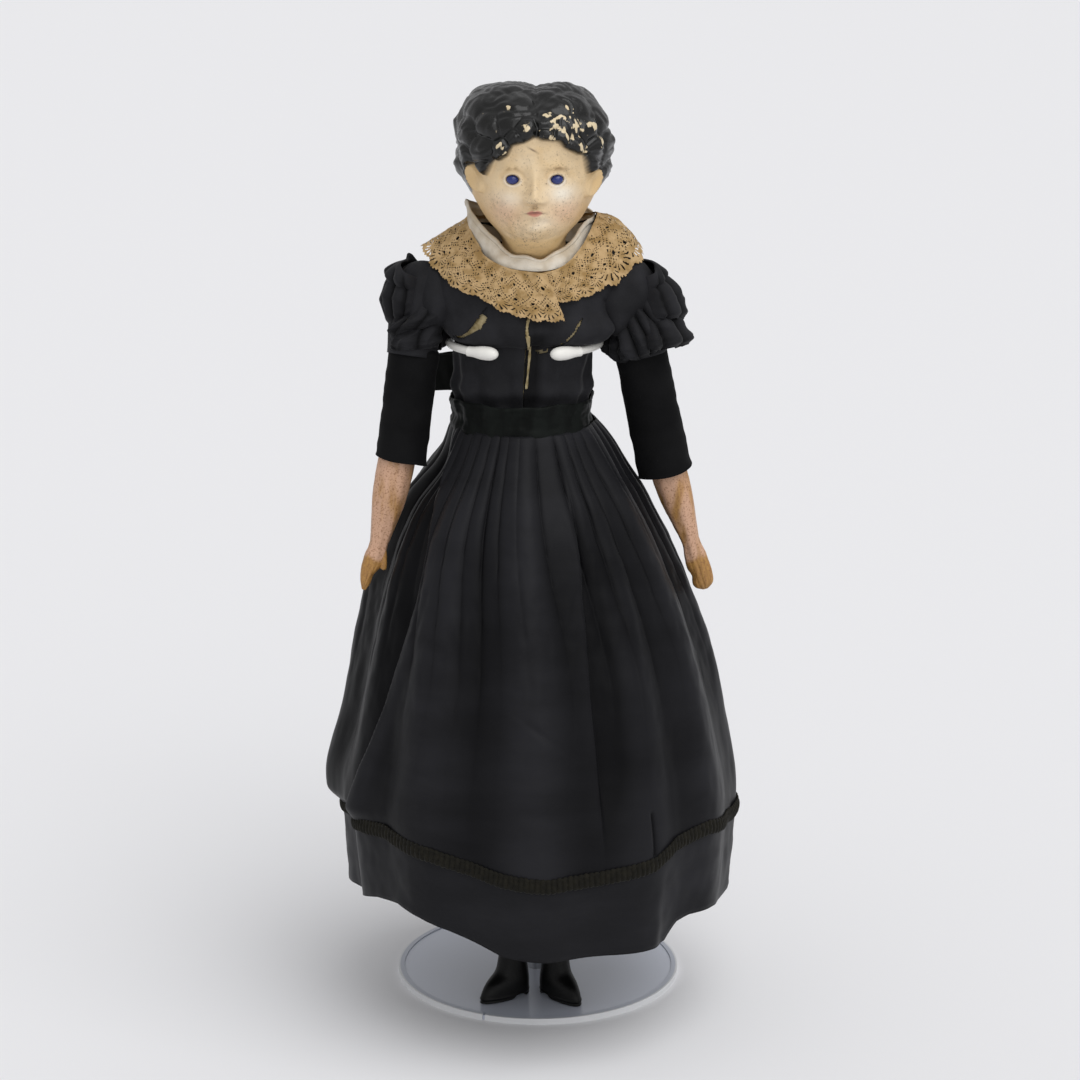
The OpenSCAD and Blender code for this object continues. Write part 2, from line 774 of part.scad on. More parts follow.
// Carved wooden forearm and mitten hand, with a round stub that the cloth arm is tied on
module forearm(side) {
    bend = forearm_splay - (side > 0 ? splay_left : splay_right);
    color("#d9a775")
    at_shoulder(side)
    translate([0, 0, -upper_arm_l]) {
        cylinder(r = stub_r, h = stub_l - 0.1);
        translate([0, 0, 0.05])
        rotate([0, -bend, 0])
        solid(function(u, v) forearm_at(-u * 360, v * 8), 18, 18);
        rotate([0, -bend, 0])
        translate([-wrist_r + 1, -0.8, -forearm_l * 0.74])
        rotate([0, 10, 0])
        mirror([0, 0, 1]) {
            cylinder(r1 = 1.2, r2 = 1.9, h = thumb_l);
            translate([0, 0, thumb_l])
            sphere(r = 1.9, $fn = 24);
        }
    }
}

module forearm_right() {
    forearm(-1);
}

module forearm_left() {
    forearm(1);
}

// Place of one hip: local origin on the seam's axis
module at_hip(side) {
    translate([leg_x + side * leg_gap, body_y - leg_y, hip_z])
    children();
}

// Stitched roll under the body that the thigh hangs from
module hip_seam(side) {
    color("#b9ac90")
    at_hip(side)
    translate([-thigh_r * 0.8, 0, 0])
    rotate([0, 90, 0])
    cylinder(r = seam_r, h = thigh_r * 1.6);
}

module hip_seam_right() {
    hip_seam(-1);
}

module hip_seam_left() {
    hip_seam(1);
}

leg_stub_r = calf_r - 1.5;
leg_stub_l = 12;
leg_cuff_r = calf_r;

// Stuffed thigh: rounded at the top round its seam, tied in at the knee
module thigh(side) {
    color("#d8cbb0")
    at_hip(side)
    difference() {
        rotate_extrude()
        polygon([
            [0, -0.2], [thigh_r * 0.45, -1.4], [thigh_r * 0.8, -4.6], [thigh_r, -10],
            [thigh_r, -thigh_l * 0.25], [thigh_r - 0.7, -thigh_l * 0.6], [thigh_r - 0.9, -thigh_l + 18],
            [leg_cuff_r, -thigh_l + 12], [leg_cuff_r, -thigh_l], [0, -thigh_l]
        ]);
        translate([-thigh_r - 1, 0, 0])
        rotate([0, 90, 0])
        cylinder(r = seam_r + joint_fit, h = thigh_r * 2 + 2);
        translate([0, 0, -thigh_l - 1])
        cylinder(r = leg_stub_r, h = leg_stub_l + 1);
    }
}

module thigh_right() {
    thigh(-1);
}

module thigh_left() {
    thigh(1);
}

// Thread wound round the cuff of the cloth leg
module leg_binding(side) {
    color("#b9ac90")
    at_hip(side)
    for (z = [-2, 0])
        translate([0, 0, -thigh_l + 6 + z])
        rotate_extrude()
        translate([leg_cuff_r + 0.6, 0])
        circle(r = 0.6, $fn = 24);
}

module leg_binding_right() {
    leg_binding(-1);
}

module leg_binding_left() {
    leg_binding(1);
}

// Lower leg rows from the sole up: height, half width, reach to the toe, reach to the heel
shin_rows = [
    [0, boot_w - 0.8, boot_toe - 1.2, boot_heel - 0.4],
    [boot_h * 0.11, boot_w, boot_toe, boot_heel],
    [boot_h * 0.25, boot_w, boot_toe - 4, boot_heel],
    [boot_h * 0.44, boot_w - 0.6, boot_toe * 0.5, boot_heel - 0.6],
    [boot_h * 0.66, ankle_r + 0.4, ankle_r + 2.2, ankle_r + 1],
    [boot_h, ankle_r, ankle_r + 0.6, ankle_r + 0.4],
    [shin_l * 0.5, calf_r - 1, calf_r - 1, calf_r - 0.6],
    [shin_l * 0.75, calf_r, calf_r, calf_r],
    [shin_l, calf_r - 0.2, calf_r - 0.2, calf_r - 0.2]
];

function shin_at(a, v) =
    let (r = row_at(shin_rows, v)) [r[1] * cos(a), (sin(a) < 0 ? r[2] : r[3]) * sin(a), r[0]];

// Carved wooden lower leg with a low-heeled boot, and a stub that the cloth leg is tied on
module shin(side) {
    turn = side > 0 ? toe_out_left : -toe_out_right;
    color("#17171a")
    at_hip(side)
    translate([0, 0, -thigh_l - shin_l]) {
        difference() {
            rotate([0, 0, turn])
            solid(function(u, v) shin_at(u * 360, v * 8), 20, 22);
            rotate([0, 0, turn])
            translate([-boot_w - 1, -1.5, -3])
            rotate([0, 90, 0])
            cylinder(r = 5.4, h = 2 * boot_w + 2);
        }
        translate([0, 0, shin_l - 0.05])
        cylinder(r = leg_stub_r, h = leg_stub_l);
    }
}

module shin_right() {
    shin(-1);
}

module shin_left() {
    shin(1);
}

// Rows of the bodice from the waist to the neckline, closer together over the shoulders
bodice_rows = [1.95, 2.4, 3, 3.5, 4, 4.7, 5.5, 6.2, 6.7, 7.1, 7.5, 8, neck_row - 0.45];

// One bodice panel between two angles round the body
module bodice_panel(from, to, cols) {
    n = len(bodice_rows) - 1;
    color("#1a1a1c")
    skin(function(u, v, side)
        torso_off(mix(from, to, u), bodice_rows[round(v * n)], side > 0 ? bodice_out : bodice_in),
        cols, n, false);
}

// Front panel of one side, with the hole that the shoulder stitch passes
module bodice_front(side) {
    difference() {
        bodice_panel(side > 0 ? -90 + front_gap : 155, side > 0 ? 25 : 270 - front_gap, 10);
        at_shoulder(side)
        translate([-16, 0, 0])
        rotate([0, 90, 0])
        cylinder(r = stitch_r + 1, h = 30);
    }
}

module bodice_front_right() {
    bodice_front(-1);
}

module bodice_front_left() {
    bodice_front(1);
}

module bodice_back() {
    bodice_panel(25.5, 154.5, 10);
}

// Straight sleeve over the upper arm, cut open at the shoulder
module sleeve(side) {
    color("#1a1a1c")
    at_shoulder(side)
    difference() {
        translate([0, 0, -sleeve_l])
        cylinder(r = sleeve_r, h = sleeve_l);
        translate([0, 0, -sleeve_l - 1])
        cylinder(r = sleeve_r - sleeve_t, h = sleeve_l + 2);
        shoulder_space();
    }
}

module sleeve_right() {
    sleeve(-1);
}

module sleeve_left() {
    sleeve(1);
}

// Outside or inside of a puff: gathered along the arm, domed over the shoulder
function puff_at(u, v, side, full) =
    let (
        a = u * 360,
        ball = side > 0 ? puff_r : sleeve_r + gap,
        h = v < 0.6 ? mix(-puff_l, 0, v / 0.6) : ball * sin((v - 0.6) / 0.4 * 90),
        round = h > 0 ? sqrt(max(1 - pow(h / ball, 2), 0)) : 1,
        ruff = cos(a * 6 + (sin(v * 540) > 0 ? 0 : 30)) * sin(v * 720),
        swell = full * max(cos(a), 0) * ease(v / 0.35) * ease((0.9 - v) / 0.4),
        reach = mix(sleeve_r + 1.6, puff_r - 1, ease(v / 0.25)) + ruff + swell,
        tight = ease(-2 * cos(a)) * ease((0.5 - v) / 0.2),
        r = side > 0 ? mix(reach, min(reach, sleeve_r + 1), tight) * round : ball * round
    )
    [r * cos(a), r * sin(a), h];

// Gathered puff round the top of a sleeve
module sleeve_puff(side) {
    color("#1a1a1c")
    at_shoulder(side)
    difference() {
        dome(function(u, v, s) puff_at(u, v, s, side > 0 ? puff_full : 0), 24, 8, 5);
        shoulder_space();
    }
}

module sleeve_puff_right() {
    sleeve_puff(-1);
}

module sleeve_puff_left() {
    sleeve_puff(1);
}

// Neck band: close and low in front, standing up and spread behind
function band_at(u, v, side) =
    let (
        a = -90 + u * 360,
        back = (1 - cos(u * 360)) / 2,
        spread = 1 + 0.42 * ease(v * back),
        wide = neck_w + 6.5 + 3 * v * back,
        deep = neck_w + 2 + 8 * sqrt(v) * back
    )
    [
        head_x + (wide * spread + side * band_t) * cos(a),
        body_y + (deep * spread + side * band_t) * sin(a),
        shoulder_z + plate_out + 1.6 + v * (2.6 + band_rise * back)
    ];

// White cotton band round the neck
module neck_band() {
    color("#ecebe6")
    skin(function(u, v, side) band_at(u, v, side), 30, 3);
}

// Lower edge of the lace by angle: over the bust in front, out to the shoulders at the sides
function lace_row(a) = 5.45 + 1.75 * pow(abs(cos(a)), 3);

// Lace collar over the shoulders, its ends meeting at the front
module lace_collar() {
    color("#c9a873")
    skin(function(u, v, side)
        let (a = mix(-88, 268, u))
        torso_off(a, mix(lace_row(a), neck_row - 0.6, v), side > 0 ? lace_out : lace_in),
        34, 5, false);
}

// Loose ribbon waistband, wide enough to pass the upright behind the body
module waistband() {
    color("#1d1f1c")
    skin(function(u, v, side)
        let (a = u * 360, off = side > 0 ? 0 : -ribbon_t)
        [
            waist_x + (ribbon_w + off) * cos(a), waist_y + (ribbon_d + off) * sin(a),
            ribbon_z + v * ribbon_h
        ], 40, 1);
}

// Outline of one bow loop seen from above, from the knot outwards
function loop_line(side, cut) =
    [for (i = [0:24])
        let (t = i * 15, x = (1 - cos(t)) / 2, reach = side > 0 ? bow_short : bow_l)
        [
            side * (2 + cut + x * (reach - 2 * cut)),
            (4.2 - cut) * sin(t) * pow(max(sin(180 * (0.12 + 0.8 * x)), 0), 0.7) + 1.5 * x
        ]];

// Ribbon bow behind the waist: two loops and their knot
module sash_bow() {
    color("#1d1f1c")
    translate([waist_x, waist_y + ribbon_d + 4.6, hip_z + ribbon_top - 4]) {
        for (side = [-1, 1])
            linear_extrude(bow_h)
            difference() {
                polygon(loop_line(side, 0));
                polygon(loop_line(side, 1.1));
            }
        translate([-4, -4.55, bow_h * 0.15])
        cube([8, 8.8, bow_h * 0.6]);
    }
}

// Skirt rows from the waist to the braid: share of the way down, radius, depth of the folds
skirt_rows = [
    [0, 0, 0.7],
    [0.074, 0.14, 1],
    [0.194, 0.42, fold_d * 0.7],
    [0.444, 0.72, fold_d],
    [0.694, 0.91, fold_d],
    [0.92, 1, fold_d * 0.8],
    [1, 1, fold_d * 0.7]
];

// Height of the hem at angle a over its lowest place
function hem_rise(a) = hem_lift * abs(cos(a));

// Point of the skirt at angle a and row v, off the cloth's outside
function skirt_at(a, v, off) =
    let (
        r = row_at(skirt_rows, v),
        down = r[0],
        fold = r[2] * cos(a * folds + 25 * sin(a * 2)) - r[2],
        wide = mix(ribbon_w, skirt_r, r[1]) + fold + off,
        deep = mix(ribbon_d, skirt_r, r[1]) + fold + off
    )
    [
        mix(waist_x, hem_x - 3, ease(down)) + wide * cos(a), mix(waist_y, hem_y, down) + deep * sin(a),
        skirt_top - skirt_l * down + hem_rise(a) * pow(down, 3)
    ];

// Bell skirt with its main folds, from the waistband to the braid
module skirt() {
    color("#242427")
    skin(function(u, v, side) skirt_at(u * 360, 6 * (1 - v), side > 0 ? 0 : -skirt_t), 60, 9);
}

// Band below the skirt, drawn in towards the hem
module hem_band() {
    color("#242427")
    skin(function(u, v, side)
        let (
            p = skirt_at(u * 360, 6, side > 0 ? 0 : -skirt_t),
            pull = (1 - v) * hem_pull
        )
        [p[0] - pull * cos(u * 360), p[1] - pull * sin(u * 360), p[2] - (1 - v) * hem_band_h - v * 0.05],
        60, 1);
}

// Ruched braid sewn round the join of skirt and hem band
module hem_braid() {
    color("#2a2b22")
    skin(function(u, v, side)
        let (
            p = skirt_at(u * 360, 6, gap + (side > 0 ? 0.9 + 0.7 * sin(180 * v) : 0)),
            pull = (1 - v) * 0.5
        )
        [p[0] - pull * cos(u * 360), p[1] - pull * sin(u * 360), p[2] + (2 * v - 1) * braid_r],
        60, 2);
}

stand_base();
base_edge_trim();
base_screw();
post_socket();
stand_tube();
lock_collar();
thumb_screw();
stand_rod();
rod_cap();
clip_bracket();
clip_wire();
clip_tip_right();
clip_tip_left();
torso();
head_shell();
eye_right();
eye_left();
shoulder_stitch_right();
shoulder_stitch_left();
upper_arm_right();
upper_arm_left();
arm_binding_right();
arm_binding_left();
forearm_right();
forearm_left();
hip_seam_right();
hip_seam_left();
thigh_right();
thigh_left();
leg_binding_right();
leg_binding_left();
shin_right();
shin_left();
bodice_front_right();
bodice_front_left();
bodice_back();
sleeve_right();
sleeve_left();
sleeve_puff_right();
sleeve_puff_left();
neck_band();
lace_collar();
waistband();
sash_bow();
skirt();
hem_band();
hem_braid();
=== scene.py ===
"""Dressed scene of a shoulder-head doll on its wire-clip stand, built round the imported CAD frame.

Lengths inside the classes are millimetres in the CAD frame: X to the doll's left, -Y to its front, Z up.
Angles round the body are degrees, with -90 at the front, 0 at the doll's left and 180 at its right.
"""

import json
import logging
from dataclasses import dataclass
from enum import Enum
from math import radians
from typing import Any, Callable, Sequence

import bmesh
import bpy
import numpy as np
from mathutils import Matrix, Vector, noise


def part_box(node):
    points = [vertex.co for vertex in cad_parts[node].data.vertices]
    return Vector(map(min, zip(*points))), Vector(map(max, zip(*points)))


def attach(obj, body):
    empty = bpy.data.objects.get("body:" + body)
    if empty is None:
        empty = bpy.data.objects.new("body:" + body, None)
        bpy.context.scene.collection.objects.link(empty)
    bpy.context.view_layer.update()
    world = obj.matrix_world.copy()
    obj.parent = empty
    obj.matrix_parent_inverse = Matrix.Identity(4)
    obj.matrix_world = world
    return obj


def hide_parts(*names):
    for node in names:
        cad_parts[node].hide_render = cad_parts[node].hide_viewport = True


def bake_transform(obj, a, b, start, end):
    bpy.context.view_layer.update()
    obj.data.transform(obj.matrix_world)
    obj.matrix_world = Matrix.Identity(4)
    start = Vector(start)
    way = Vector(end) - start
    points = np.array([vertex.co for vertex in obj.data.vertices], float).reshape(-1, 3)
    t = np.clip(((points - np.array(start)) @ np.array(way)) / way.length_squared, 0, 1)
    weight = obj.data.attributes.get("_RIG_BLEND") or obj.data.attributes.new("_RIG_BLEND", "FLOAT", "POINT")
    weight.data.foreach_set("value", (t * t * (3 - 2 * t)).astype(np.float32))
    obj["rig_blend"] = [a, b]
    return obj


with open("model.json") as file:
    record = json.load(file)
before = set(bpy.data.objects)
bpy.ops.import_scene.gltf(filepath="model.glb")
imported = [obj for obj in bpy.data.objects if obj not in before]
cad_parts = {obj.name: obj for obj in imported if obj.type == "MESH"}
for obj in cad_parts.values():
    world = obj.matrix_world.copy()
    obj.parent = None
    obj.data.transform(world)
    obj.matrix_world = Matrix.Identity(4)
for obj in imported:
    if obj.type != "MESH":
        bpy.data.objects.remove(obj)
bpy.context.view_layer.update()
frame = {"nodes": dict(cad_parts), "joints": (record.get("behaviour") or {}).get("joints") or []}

MM = 0.001
LOG = logging.getLogger("doll")
Array = np.ndarray
Piece = bpy.types.Object
Tree = bpy.types.NodeTree
Node = bpy.types.Node
Socket = bpy.types.NodeSocket
Surface = Callable[[Array, Array], Array]
Masks = Callable[[Array, Array], dict[str, Array]]


class Side(Enum):
    """The doll's own right and left, by the sign of X."""

    RIGHT = -1
    LEFT = 1

    @property
    def word(self) -> str:
        """Name of the side as the CAD nodes spell it."""
        return self.name.lower()


def mix(a: Any, b: Any, t: Any) -> Any:
    """Go from a to b as t goes from 0 to 1."""
    return a + (b - a) * t


def ease(t: Any) -> Array:
    """Smooth step from 0 to 1, flat outside."""
    c = np.clip(t, 0.0, 1.0)
    return c * c * (3.0 - 2.0 * c)


def bump(distance: Any, width: float) -> Array:
    """Bell curve of height 1."""
    return np.exp(-np.square(np.asarray(distance, float) / width))


def cosd(angle: Any) -> Array:
    """Cosine of an angle in degrees."""
    return np.cos(np.radians(angle))


def sind(angle: Any) -> Array:
    """Sine of an angle in degrees."""
    return np.sin(np.radians(angle))


def wrapped(angle: Any) -> Any:
    """Bring angles in degrees between -180 and 180."""
    return (angle + 180) % 360 - 180


def lookup(at: Array, keys: Sequence[tuple[float, float]]) -> Array:
    """Read a table of key and value pairs with straight lines between them."""
    return np.interp(at, [k for k, _ in keys], [value for _, value in keys])


def spline(rows: Array, at: Array) -> Array:
    """Read a smooth curve through the rows of a table.

    Args:
        rows: Table with one point per row.
        at: Row numbers, which may lie between rows.

    Returns:
        One point of the curve for each row number.
    """
    rows = np.asarray(rows, float)
    last = len(rows) - 1
    i = np.clip(np.floor(at).astype(int), 0, last - 1)
    t = (at - i)[:, None]
    a, b, c, d = rows[np.maximum(i - 1, 0)], rows[i], rows[i + 1], rows[np.minimum(i + 2, last)]
    return 0.5 * (2 * b + (c - a) * t + (2 * a - 5 * b + 4 * c - d) * t**2 + (3 * b - a - 3 * c + d) * t**3)


def rough(points: Array, size: float, octaves: int = 2, seed: float = 0.0) -> Array:
    """Give each point a smooth uneven value of about -1 to 1.

    Args:
        points: Places in millimetres.
        size: Width of the unevenness in millimetres.
        octaves: How many finer layers it has.
        seed: Shift that gives another pattern.

    Returns:
        One value for each point.
    """
    return np.array([noise.fractal(Vector(p), 1.0, 2.0, octaves) for p in points / size + seed])


def xyz(x: Any, y: Any, z: Any) -> Array:
    """Stack three coordinates as points."""
    return np.stack(np.broadcast_arrays(*(np.asarray(c, float) for c in (x, y, z))), axis=1)


def linear(colour: str) -> tuple[float, float, float, float]:
    """Turn an sRGB hex colour into linear RGBA.

    Args:
        colour: Colour as #rrggbb.

    Returns:
        Red, green, blue and alpha from 0 to 1.
    """
    parts = np.array([int(colour[i:i + 2], 16) for i in (1, 3, 5)]) / 255.0
    low, high = parts / 12.92, ((parts + 0.055) / 1.055) ** 2.4
    return (*np.where(parts <= 0.04045, low, high).tolist(), 1.0)


def lay_grid(name: str, columns: int, rows: int, surface: Surface, masks: Masks | None = None,
             weld: bool = False) -> Piece:
    """Lay a grid of quads on a surface.

    Args:
        name: Name of the new object.
        columns: Faces along u.
        rows: Faces along v.
        surface: Function from u and v, 0 to 1, to points in millimetres.
        masks: Function from u and v to the named vertex values that a finish reads.
        weld: Whether the grid closes on itself, so that its seam and poles are merged.

    Returns:
        The new object, with its faces outwards.
    """
    shape = bmesh.new()
    bmesh.ops.create_grid(shape, x_segments=columns, y_segments=rows, size=0.5)
    mesh = bpy.data.meshes.new(name)
    shape.to_mesh(mesh)
    flat = np.empty(len(mesh.vertices) * 3, np.float32)
    mesh.vertices.foreach_get("co", flat)
    u, v = (flat.reshape(-1, 3)[:, :2] + 0.5).T.astype(float)
    mesh.vertices.foreach_set("co", (surface(u, v) * MM).astype(np.float32).ravel())
    for key, values in (masks(u, v) if masks else {}).items():
        layer = mesh.attributes.new(key, "FLOAT", "POINT")
        layer.data.foreach_set("value", np.asarray(values, np.float32))
    shape.clear()
    shape.from_mesh(mesh)
    if weld:
        bmesh.ops.remove_doubles(shape, verts=shape.verts, dist=0.01 * MM)
    face_outwards(shape)
    shape.to_mesh(mesh)
    shape.free()
    mesh.shade_smooth()
    piece = bpy.data.objects.new(name, mesh)
    bpy.context.scene.collection.objects.link(piece)
    return piece


def face_outwards(shape: bmesh.types.BMesh) -> None:
    """Turn a shell's faces away from the middle of its vertices.

    Args:
        shape: Shell to turn, changed in place.
    """
    bmesh.ops.recalc_face_normals(shape, faces=shape.faces)
    shape.normal_update()
    middle = sum((v.co for v in shape.verts), Vector()) / len(shape.verts)
    facing = sum((f.calc_center_median() - middle).dot(f.normal) * f.calc_area() for f in shape.faces)
    if facing < 0:
        bmesh.ops.reverse_faces(shape, faces=shape.faces)


def cut_faces(piece: Piece, is_open: Callable[[Array], Array]) -> None:
    """Cut faces out of a piece.

    Args:
        piece: Mesh object to cut.
        is_open: Function from face middles, in millimetres, to True where the face goes.
    """
    shape = bmesh.new()
    shape.from_mesh(piece.data)
    shape.faces.ensure_lookup_table()
    middles = np.array([f.calc_center_median() for f in shape.faces]) / MM
    gone = [shape.faces[i] for i in np.flatnonzero(is_open(middles))]
    bmesh.ops.delete(shape, geom=gone, context="FACES")
    shape.to_mesh(piece.data)
    shape.free()


def join(name: str, pieces: Sequence[Piece]) -> Piece:
    """Join several new meshes into one piece.

    Args:
        name: Name of the joined piece.
        pieces: Objects that lie where they belong.

    Returns:
        The joined object.
    """
    shape = bmesh.new()
    for piece in pieces:
        shape.from_mesh(piece.data)
        bpy.data.objects.remove(piece)
    mesh = bpy.data.meshes.new(name)
    shape.to_mesh(mesh)
    shape.free()
    mesh.shade_smooth()
    joined = bpy.data.objects.new(name, mesh)
    bpy.context.scene.collection.objects.link(joined)
    return joined


def thicken(piece: Piece, thickness: float) -> None:
    """Give a sheet its thickness, half to each side, in millimetres.

    Args:
        piece: Sheet to thicken.
        thickness: Thickness in millimetres.
    """
    wall = piece.modifiers.new("wall", "SOLIDIFY")
    wall.thickness = thickness * MM
    wall.offset = 0.0


def add_node(tree: Tree, kind: str, inputs: dict[Any, Any] | None = None, output: str | int = 0,
             **settings: Any) -> Socket:
    """Add a node with its settings and links.

    Args:
        tree: Node tree of the material.
        kind: Blender's name of the node type without its ShaderNode prefix.
        inputs: Input sockets by name or number, each with a value, a hex colour or the socket to link.
        output: Name or number of the output socket that is wanted.
        settings: Properties of the node.

    Returns:
        That output socket.
    """
    node = tree.nodes.new("ShaderNode" + kind)
    for key, value in settings.items():
        setattr(node, key, value)
    for key, value in (inputs or {}).items():
        if isinstance(value, Socket):
            tree.links.new(value, node.inputs[key])
        else:
            node.inputs[key].default_value = linear(value) if isinstance(value, str) else value
    return node.outputs[output]


# Sockets of Blender's Mix node when it mixes colours, and the settings that make it do so.
SHARE, LOW, HIGH = 0, 6, 7
COLOURS: dict[str, Any] = {"output": 2, "data_type": "RGBA"}
# Settings that make a Map Range node ease in and out.
SMOOTH: dict[str, Any] = {"interpolation_type": "SMOOTHSTEP"}


@dataclass(frozen=True)
class Finish:
    """A real material: its name, and how its surface looks all over."""

    name: str
    colour: str
    roughness: float = 0.5
    specular: float = 0.5
    coat: float = 0.0
    sheen: float = 0.0
    metallic: float = 0.0
    coat_roughness: float = 0.12
    sheen_roughness: float = 0.4

    def material(self) -> bpy.types.Material:
        """Return the material, made the first time.

        Returns:
            The material.
        """
        made = bpy.data.materials.get(self.name)
        if made is None:
            made = bpy.data.materials.new(self.name)
            made.use_nodes = True
            tree = made.node_tree
            shader = tree.nodes["Principled BSDF"]
            values = {
                "Base Color": linear(self.colour),
                "Roughness": self.roughness,
                "Specular IOR Level": self.specular,
                "Coat Weight": self.coat,
                "Coat Roughness": self.coat_roughness,
                "Sheen Weight": self.sheen,
                "Sheen Roughness": self.sheen_roughness,
                "Metallic": self.metallic,
            }
            for socket, value in values.items():
                shader.inputs[socket].default_value = value
            place = add_node(tree, "TexCoord", output="Object")
            height, depth = self.detail(tree, shader, place)
            relief = add_node(tree, "Bump", {"Height": height, "Strength": 1.0, "Distance": depth * MM})
            tree.links.new(relief, shader.inputs["Normal"])
        return made

    def detail(self, tree: Tree, shader: Node, place: Socket) -> tuple[Socket, float]:
        """Add the pattern of the surface; a plain finish has fine unevenness alone.

        Args:
            tree: Node tree of the material.
            shader: Its main shader; not used here.
            place: Object coordinates in metres.

        Returns:
            The value that raises the surface, and how far it does so in millimetres.
        """
        # Specks and dents 1.5 mm wide, coarser than real ones so that they show.
        specks = {"Vector": place, "Scale": 1 / (1.5 * MM), "Detail": 3.0}
        return add_node(tree, "TexNoise", specks, "Fac"), 0.02


@dataclass(frozen=True)
class Cloth(Finish):
    """Woven cloth: uneven dye or dirt in patches, a weave drawn coarser than it is so that it shows, and
    painted shade in folds.
    """

    shade: str = "#000000"
    # Colour of the painted shade in folds.
    deep: str = "#040405"
    patch: float = 18.0
    thread: float = 0.5
    stretch: tuple[float, float, float] = (1, 1, 1)
    depth: float = 0.08

    def detail(self, tree: Tree, shader: Node, place: Socket) -> tuple[Socket, float]:
        """Add patches of the second shade, the weave, and painted shade in folds where the piece's fold value
        is high.

        Args:
            tree: Node tree of the material.
            shader: Its main shader.
            place: Object coordinates in metres.

        Returns:
            The weave's value, and its depth in millimetres.
        """
        drawn = add_node(tree, "Mapping", {"Vector": place, "Scale": [1 / s for s in self.stretch]})
        dye, weave = (
            add_node(tree, "TexNoise", {"Vector": drawn, "Scale": 1 / (size * MM), "Detail": detail}, "Fac")
            for size, detail in ((self.patch, 5.0), (self.thread, 1.0))
        )
        patches, threads = (
            add_node(tree, "MapRange", {"Value": value, "From Min": low, "From Max": high, "To Max": most},
                     **SMOOTH)
            for value, low, high, most in ((dye, 0.35, 0.7, 1.0), (weave, 0.25, 0.6, 0.35))
        )
        # The fold value paints shade into folds and hollows, up to 0.8 of the way to the deep colour.
        fold = add_node(tree, "Attribute", output="Fac", attribute_name="fold")
        fold = add_node(tree, "Math", {0: fold, 1: 0.8}, operation="MULTIPLY")
        dyed = add_node(tree, "Mix", {SHARE: patches, LOW: self.colour, HIGH: self.shade}, **COLOURS)
        colour = add_node(tree, "Mix", {SHARE: threads, LOW: self.shade, HIGH: dyed}, **COLOURS)
        for share, other in ((0.7, dyed), (fold, self.deep)):
            colour = add_node(tree, "Mix", {SHARE: share, LOW: colour, HIGH: other}, **COLOURS)
        tree.links.new(colour, shader.inputs["Base Color"])
        return weave, self.depth


@dataclass(frozen=True)
class WornPaint(Finish):
    """Old paint over wood or pulp: worn patches show what is under it, and dirt sits in the speckles."""

    under: str = "#9a6a3c"
    dirt: str = "#5a3c28"
    patch: float = 6.0
    speck: float = 0.9
    fibre: float = 1.2
    stretch: tuple[float, float, float] = (1, 1, 1)

    def detail(self, tree: Tree, shader: Node, place: Socket) -> tuple[Socket, float]:
        """Add worn patches where the piece's bare value is high, and specks all over.

        Args:
            tree: Node tree of the material.
            shader: Its main shader.
            place: Object coordinates in metres.

        Returns:
            The value of the pits in the paint, and their depth in millimetres.
        """
        drawn = add_node(tree, "Mapping", {"Vector": place, "Scale": [1 / s for s in self.stretch]})
        patch, fibre, pits, specks = (
            add_node(tree, "TexNoise", {"Vector": at, "Scale": 1 / (size * MM), "Detail": detail}, "Fac")
            for at, size, detail in ((drawn, self.patch, 6.0), (drawn, self.fibre, 4.0),
                                     (drawn, self.speck, 4.0), (place, self.speck, 3.0))
        )
        bare = add_node(tree, "Attribute", output="Fac", attribute_name="bare")
        bare = add_node(tree, "Math", {0: bare, 1: patch}, operation="ADD")
        bare, dirty = (
            add_node(tree, "MapRange", {"Value": value, "From Min": low, "From Max": high, "To Max": most},
                     **SMOOTH)
            for value, low, high, most in ((bare, 0.62, 0.95, 1.0), (specks, 0.5, 0.7, 0.75))
        )
        wood = add_node(tree, "Mix", {SHARE: fibre, LOW: self.under, HIGH: self.dirt}, **COLOURS)
        colour: Any = self.colour
        for share, other in ((bare, wood), (dirty, self.dirt)):
            colour = add_node(tree, "Mix", {SHARE: share, LOW: colour, HIGH: other}, **COLOURS)
        tree.links.new(colour, shader.inputs["Base Color"])
        return pits, 0.15


@dataclass(frozen=True)
class RimPlastic(Finish):
    """Moulded edging, coloured the plate's grey on top and white along its outer edge."""

    rubbed: str = "#b7bcc8"
    edge_r: float = 74.2

    def detail(self, tree: Tree, shader: Node, place: Socket) -> tuple[Socket, float]:
        """Turn white where the distance from the base's middle reaches the outer edge.

        Args:
            tree: Node tree of the material.
            shader: Its main shader.
            place: Object coordinates in metres.

        Returns:
            The value that raises the surface, and how far it does so in millimetres.
        """
        flat = add_node(tree, "VectorMath", {0: place, 1: (1, 1, 0)}, operation="MULTIPLY")
        reach = add_node(tree, "VectorMath", {0: flat}, "Value", operation="LENGTH")
        span = {"From Min": (self.edge_r - 0.5) * MM, "From Max": (self.edge_r + 0.3) * MM}
        outer = add_node(tree, "MapRange", {"Value": reach, **span}, **SMOOTH)
        colour = add_node(tree, "Mix", {SHARE: outer, LOW: self.rubbed, HIGH: self.colour}, **COLOURS)
        tree.links.new(colour, shader.inputs["Base Color"])
        return super().detail(tree, shader, place)


